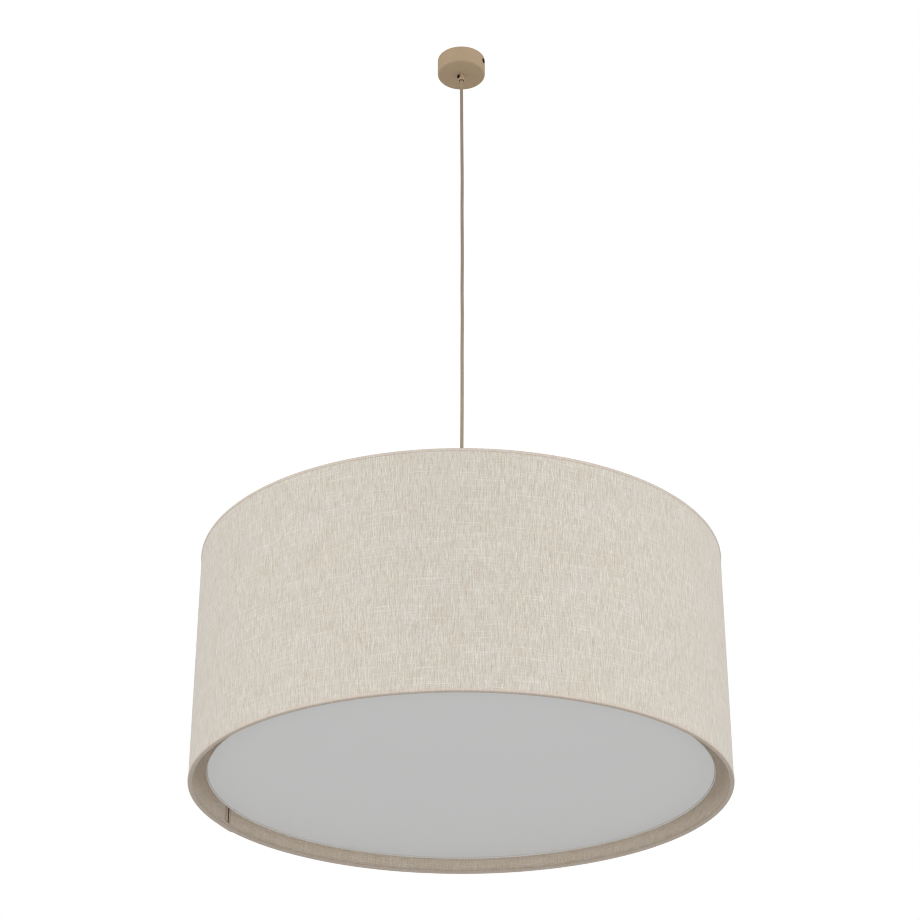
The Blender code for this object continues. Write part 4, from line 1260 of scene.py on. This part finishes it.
def make_ceiling_fittings():
    """The bracket, terminals and wires that the canopy hides, and the nut inside the housing."""
    for node, width in (("ceiling_bracket", 0.0003), ("grip_nut", 0.0004),
                        ("gland_nut", 0.0004), ("terminal_block", 0.0003)):
        dressed(node, width)
    for node in ("live_core", "neutral_core", "earth_core"):
        dressed(node, angle=60)
    well_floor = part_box("terminal_block")[0].z + clamp_well_depth
    for name, side in (("clamp_screw_left", -1), ("clamp_screw_right", 1)):
        place = (Matrix.Rotation(screw_azimuth, 4, "Z")
                 @ Matrix.Translation((side * clamp_spacing, clamp_reach, well_floor - gap))
                 @ Matrix.Rotation(pi, 4, "X"))
        settle(name, move(socket_screw(**clamp_screw), place), body="ceiling_part",
               slot="brass")


# Studio

def softbox(name, place, target, width, height, power):
    """A large soft light that faces a point."""
    data = bpy.data.lights.new(name, "AREA")
    data.shape = "RECTANGLE"
    data.size = width
    data.size_y = height
    data.energy = power
    light = bpy.data.objects.new(name, data)
    light.visible_camera = False
    bpy.context.scene.collection.objects.link(light)
    aim = Vector(target) - Vector(place)
    light.matrix_world = (Matrix.Translation(place)
                          @ aim.to_track_quat("-Z", "Y").to_matrix().to_4x4())


def make_studio():
    """A pale floor, a white surround that lights more from the front, and four soft lights."""
    work = bmesh.new()
    bmesh.ops.create_grid(work, x_segments=1, y_segments=1, size=floor_reach,
                          matrix=Matrix.Translation((0, 0, floor_height)))
    floor = plain_object("floor", work)
    paint = bpy.data.materials.new("pale_floor")
    paint.use_nodes = True
    shader = paint.node_tree.nodes["Principled BSDF"]
    shader.inputs["Base Color"].default_value = (0.80, 0.80, 0.795, 1)
    shader.inputs["Roughness"].default_value = 0.9
    floor.data.materials.append(paint)

    world = bpy.data.worlds.new("surround")
    bpy.context.scene.world = world
    world.use_nodes = True
    tree = world.node_tree
    tree.nodes.clear()
    white = (1, 1, 1, 1)
    seen = put(tree, "ShaderNodeBackground", {"Color": white, "Strength": 1.0})
    way = put(tree, "ShaderNodeTexCoord").outputs["Generated"]
    slope = put(tree, "ShaderNodeVectorMath", {0: way, 1: surround_way},
                operation="DOT_PRODUCT").outputs["Value"]
    strength = reckon(tree, "ADD", slope, surround_strength)
    lit = put(tree, "ShaderNodeBackground", {"Color": white, "Strength": strength})
    path = put(tree, "ShaderNodeLightPath")
    both = put(tree, "ShaderNodeMixShader", {0: path.outputs["Is Camera Ray"],
                                             1: lit.outputs[0], 2: seen.outputs[0]})
    put(tree, "ShaderNodeOutputWorld", {"Surface": both.outputs[0]})

    beside = (0, 0, side_light_height)
    lower = (0, 0, shade_aim_height)
    softbox("left_light", (-3.6, -0.3, side_light_height), beside,
            width=1.6, height=0.9, power=18.6)
    softbox("right_light", (3.6, -0.3, side_light_height), beside,
            width=1.6, height=0.9, power=21.7)
    softbox("near_light", (0, -3.4, -2.35), lower, width=1.6, height=0.7, power=10.3)
    softbox("far_light", (0, -8, -2.0), lower, width=3.5, height=1.2, power=12.4)
    bpy.context.scene.view_settings.view_transform = "Standard"
    bpy.context.scene.cycles.filter_width = 1.1


set_camera()
make_cords()
make_shade_walls()
make_seam()
make_hem_lap()
make_rings()
make_spider()
make_gland()
make_housing()
make_screws()
make_lampholders()
make_posts()
make_diffuser()
make_canopy()
make_ceiling_fittings()
make_studio()
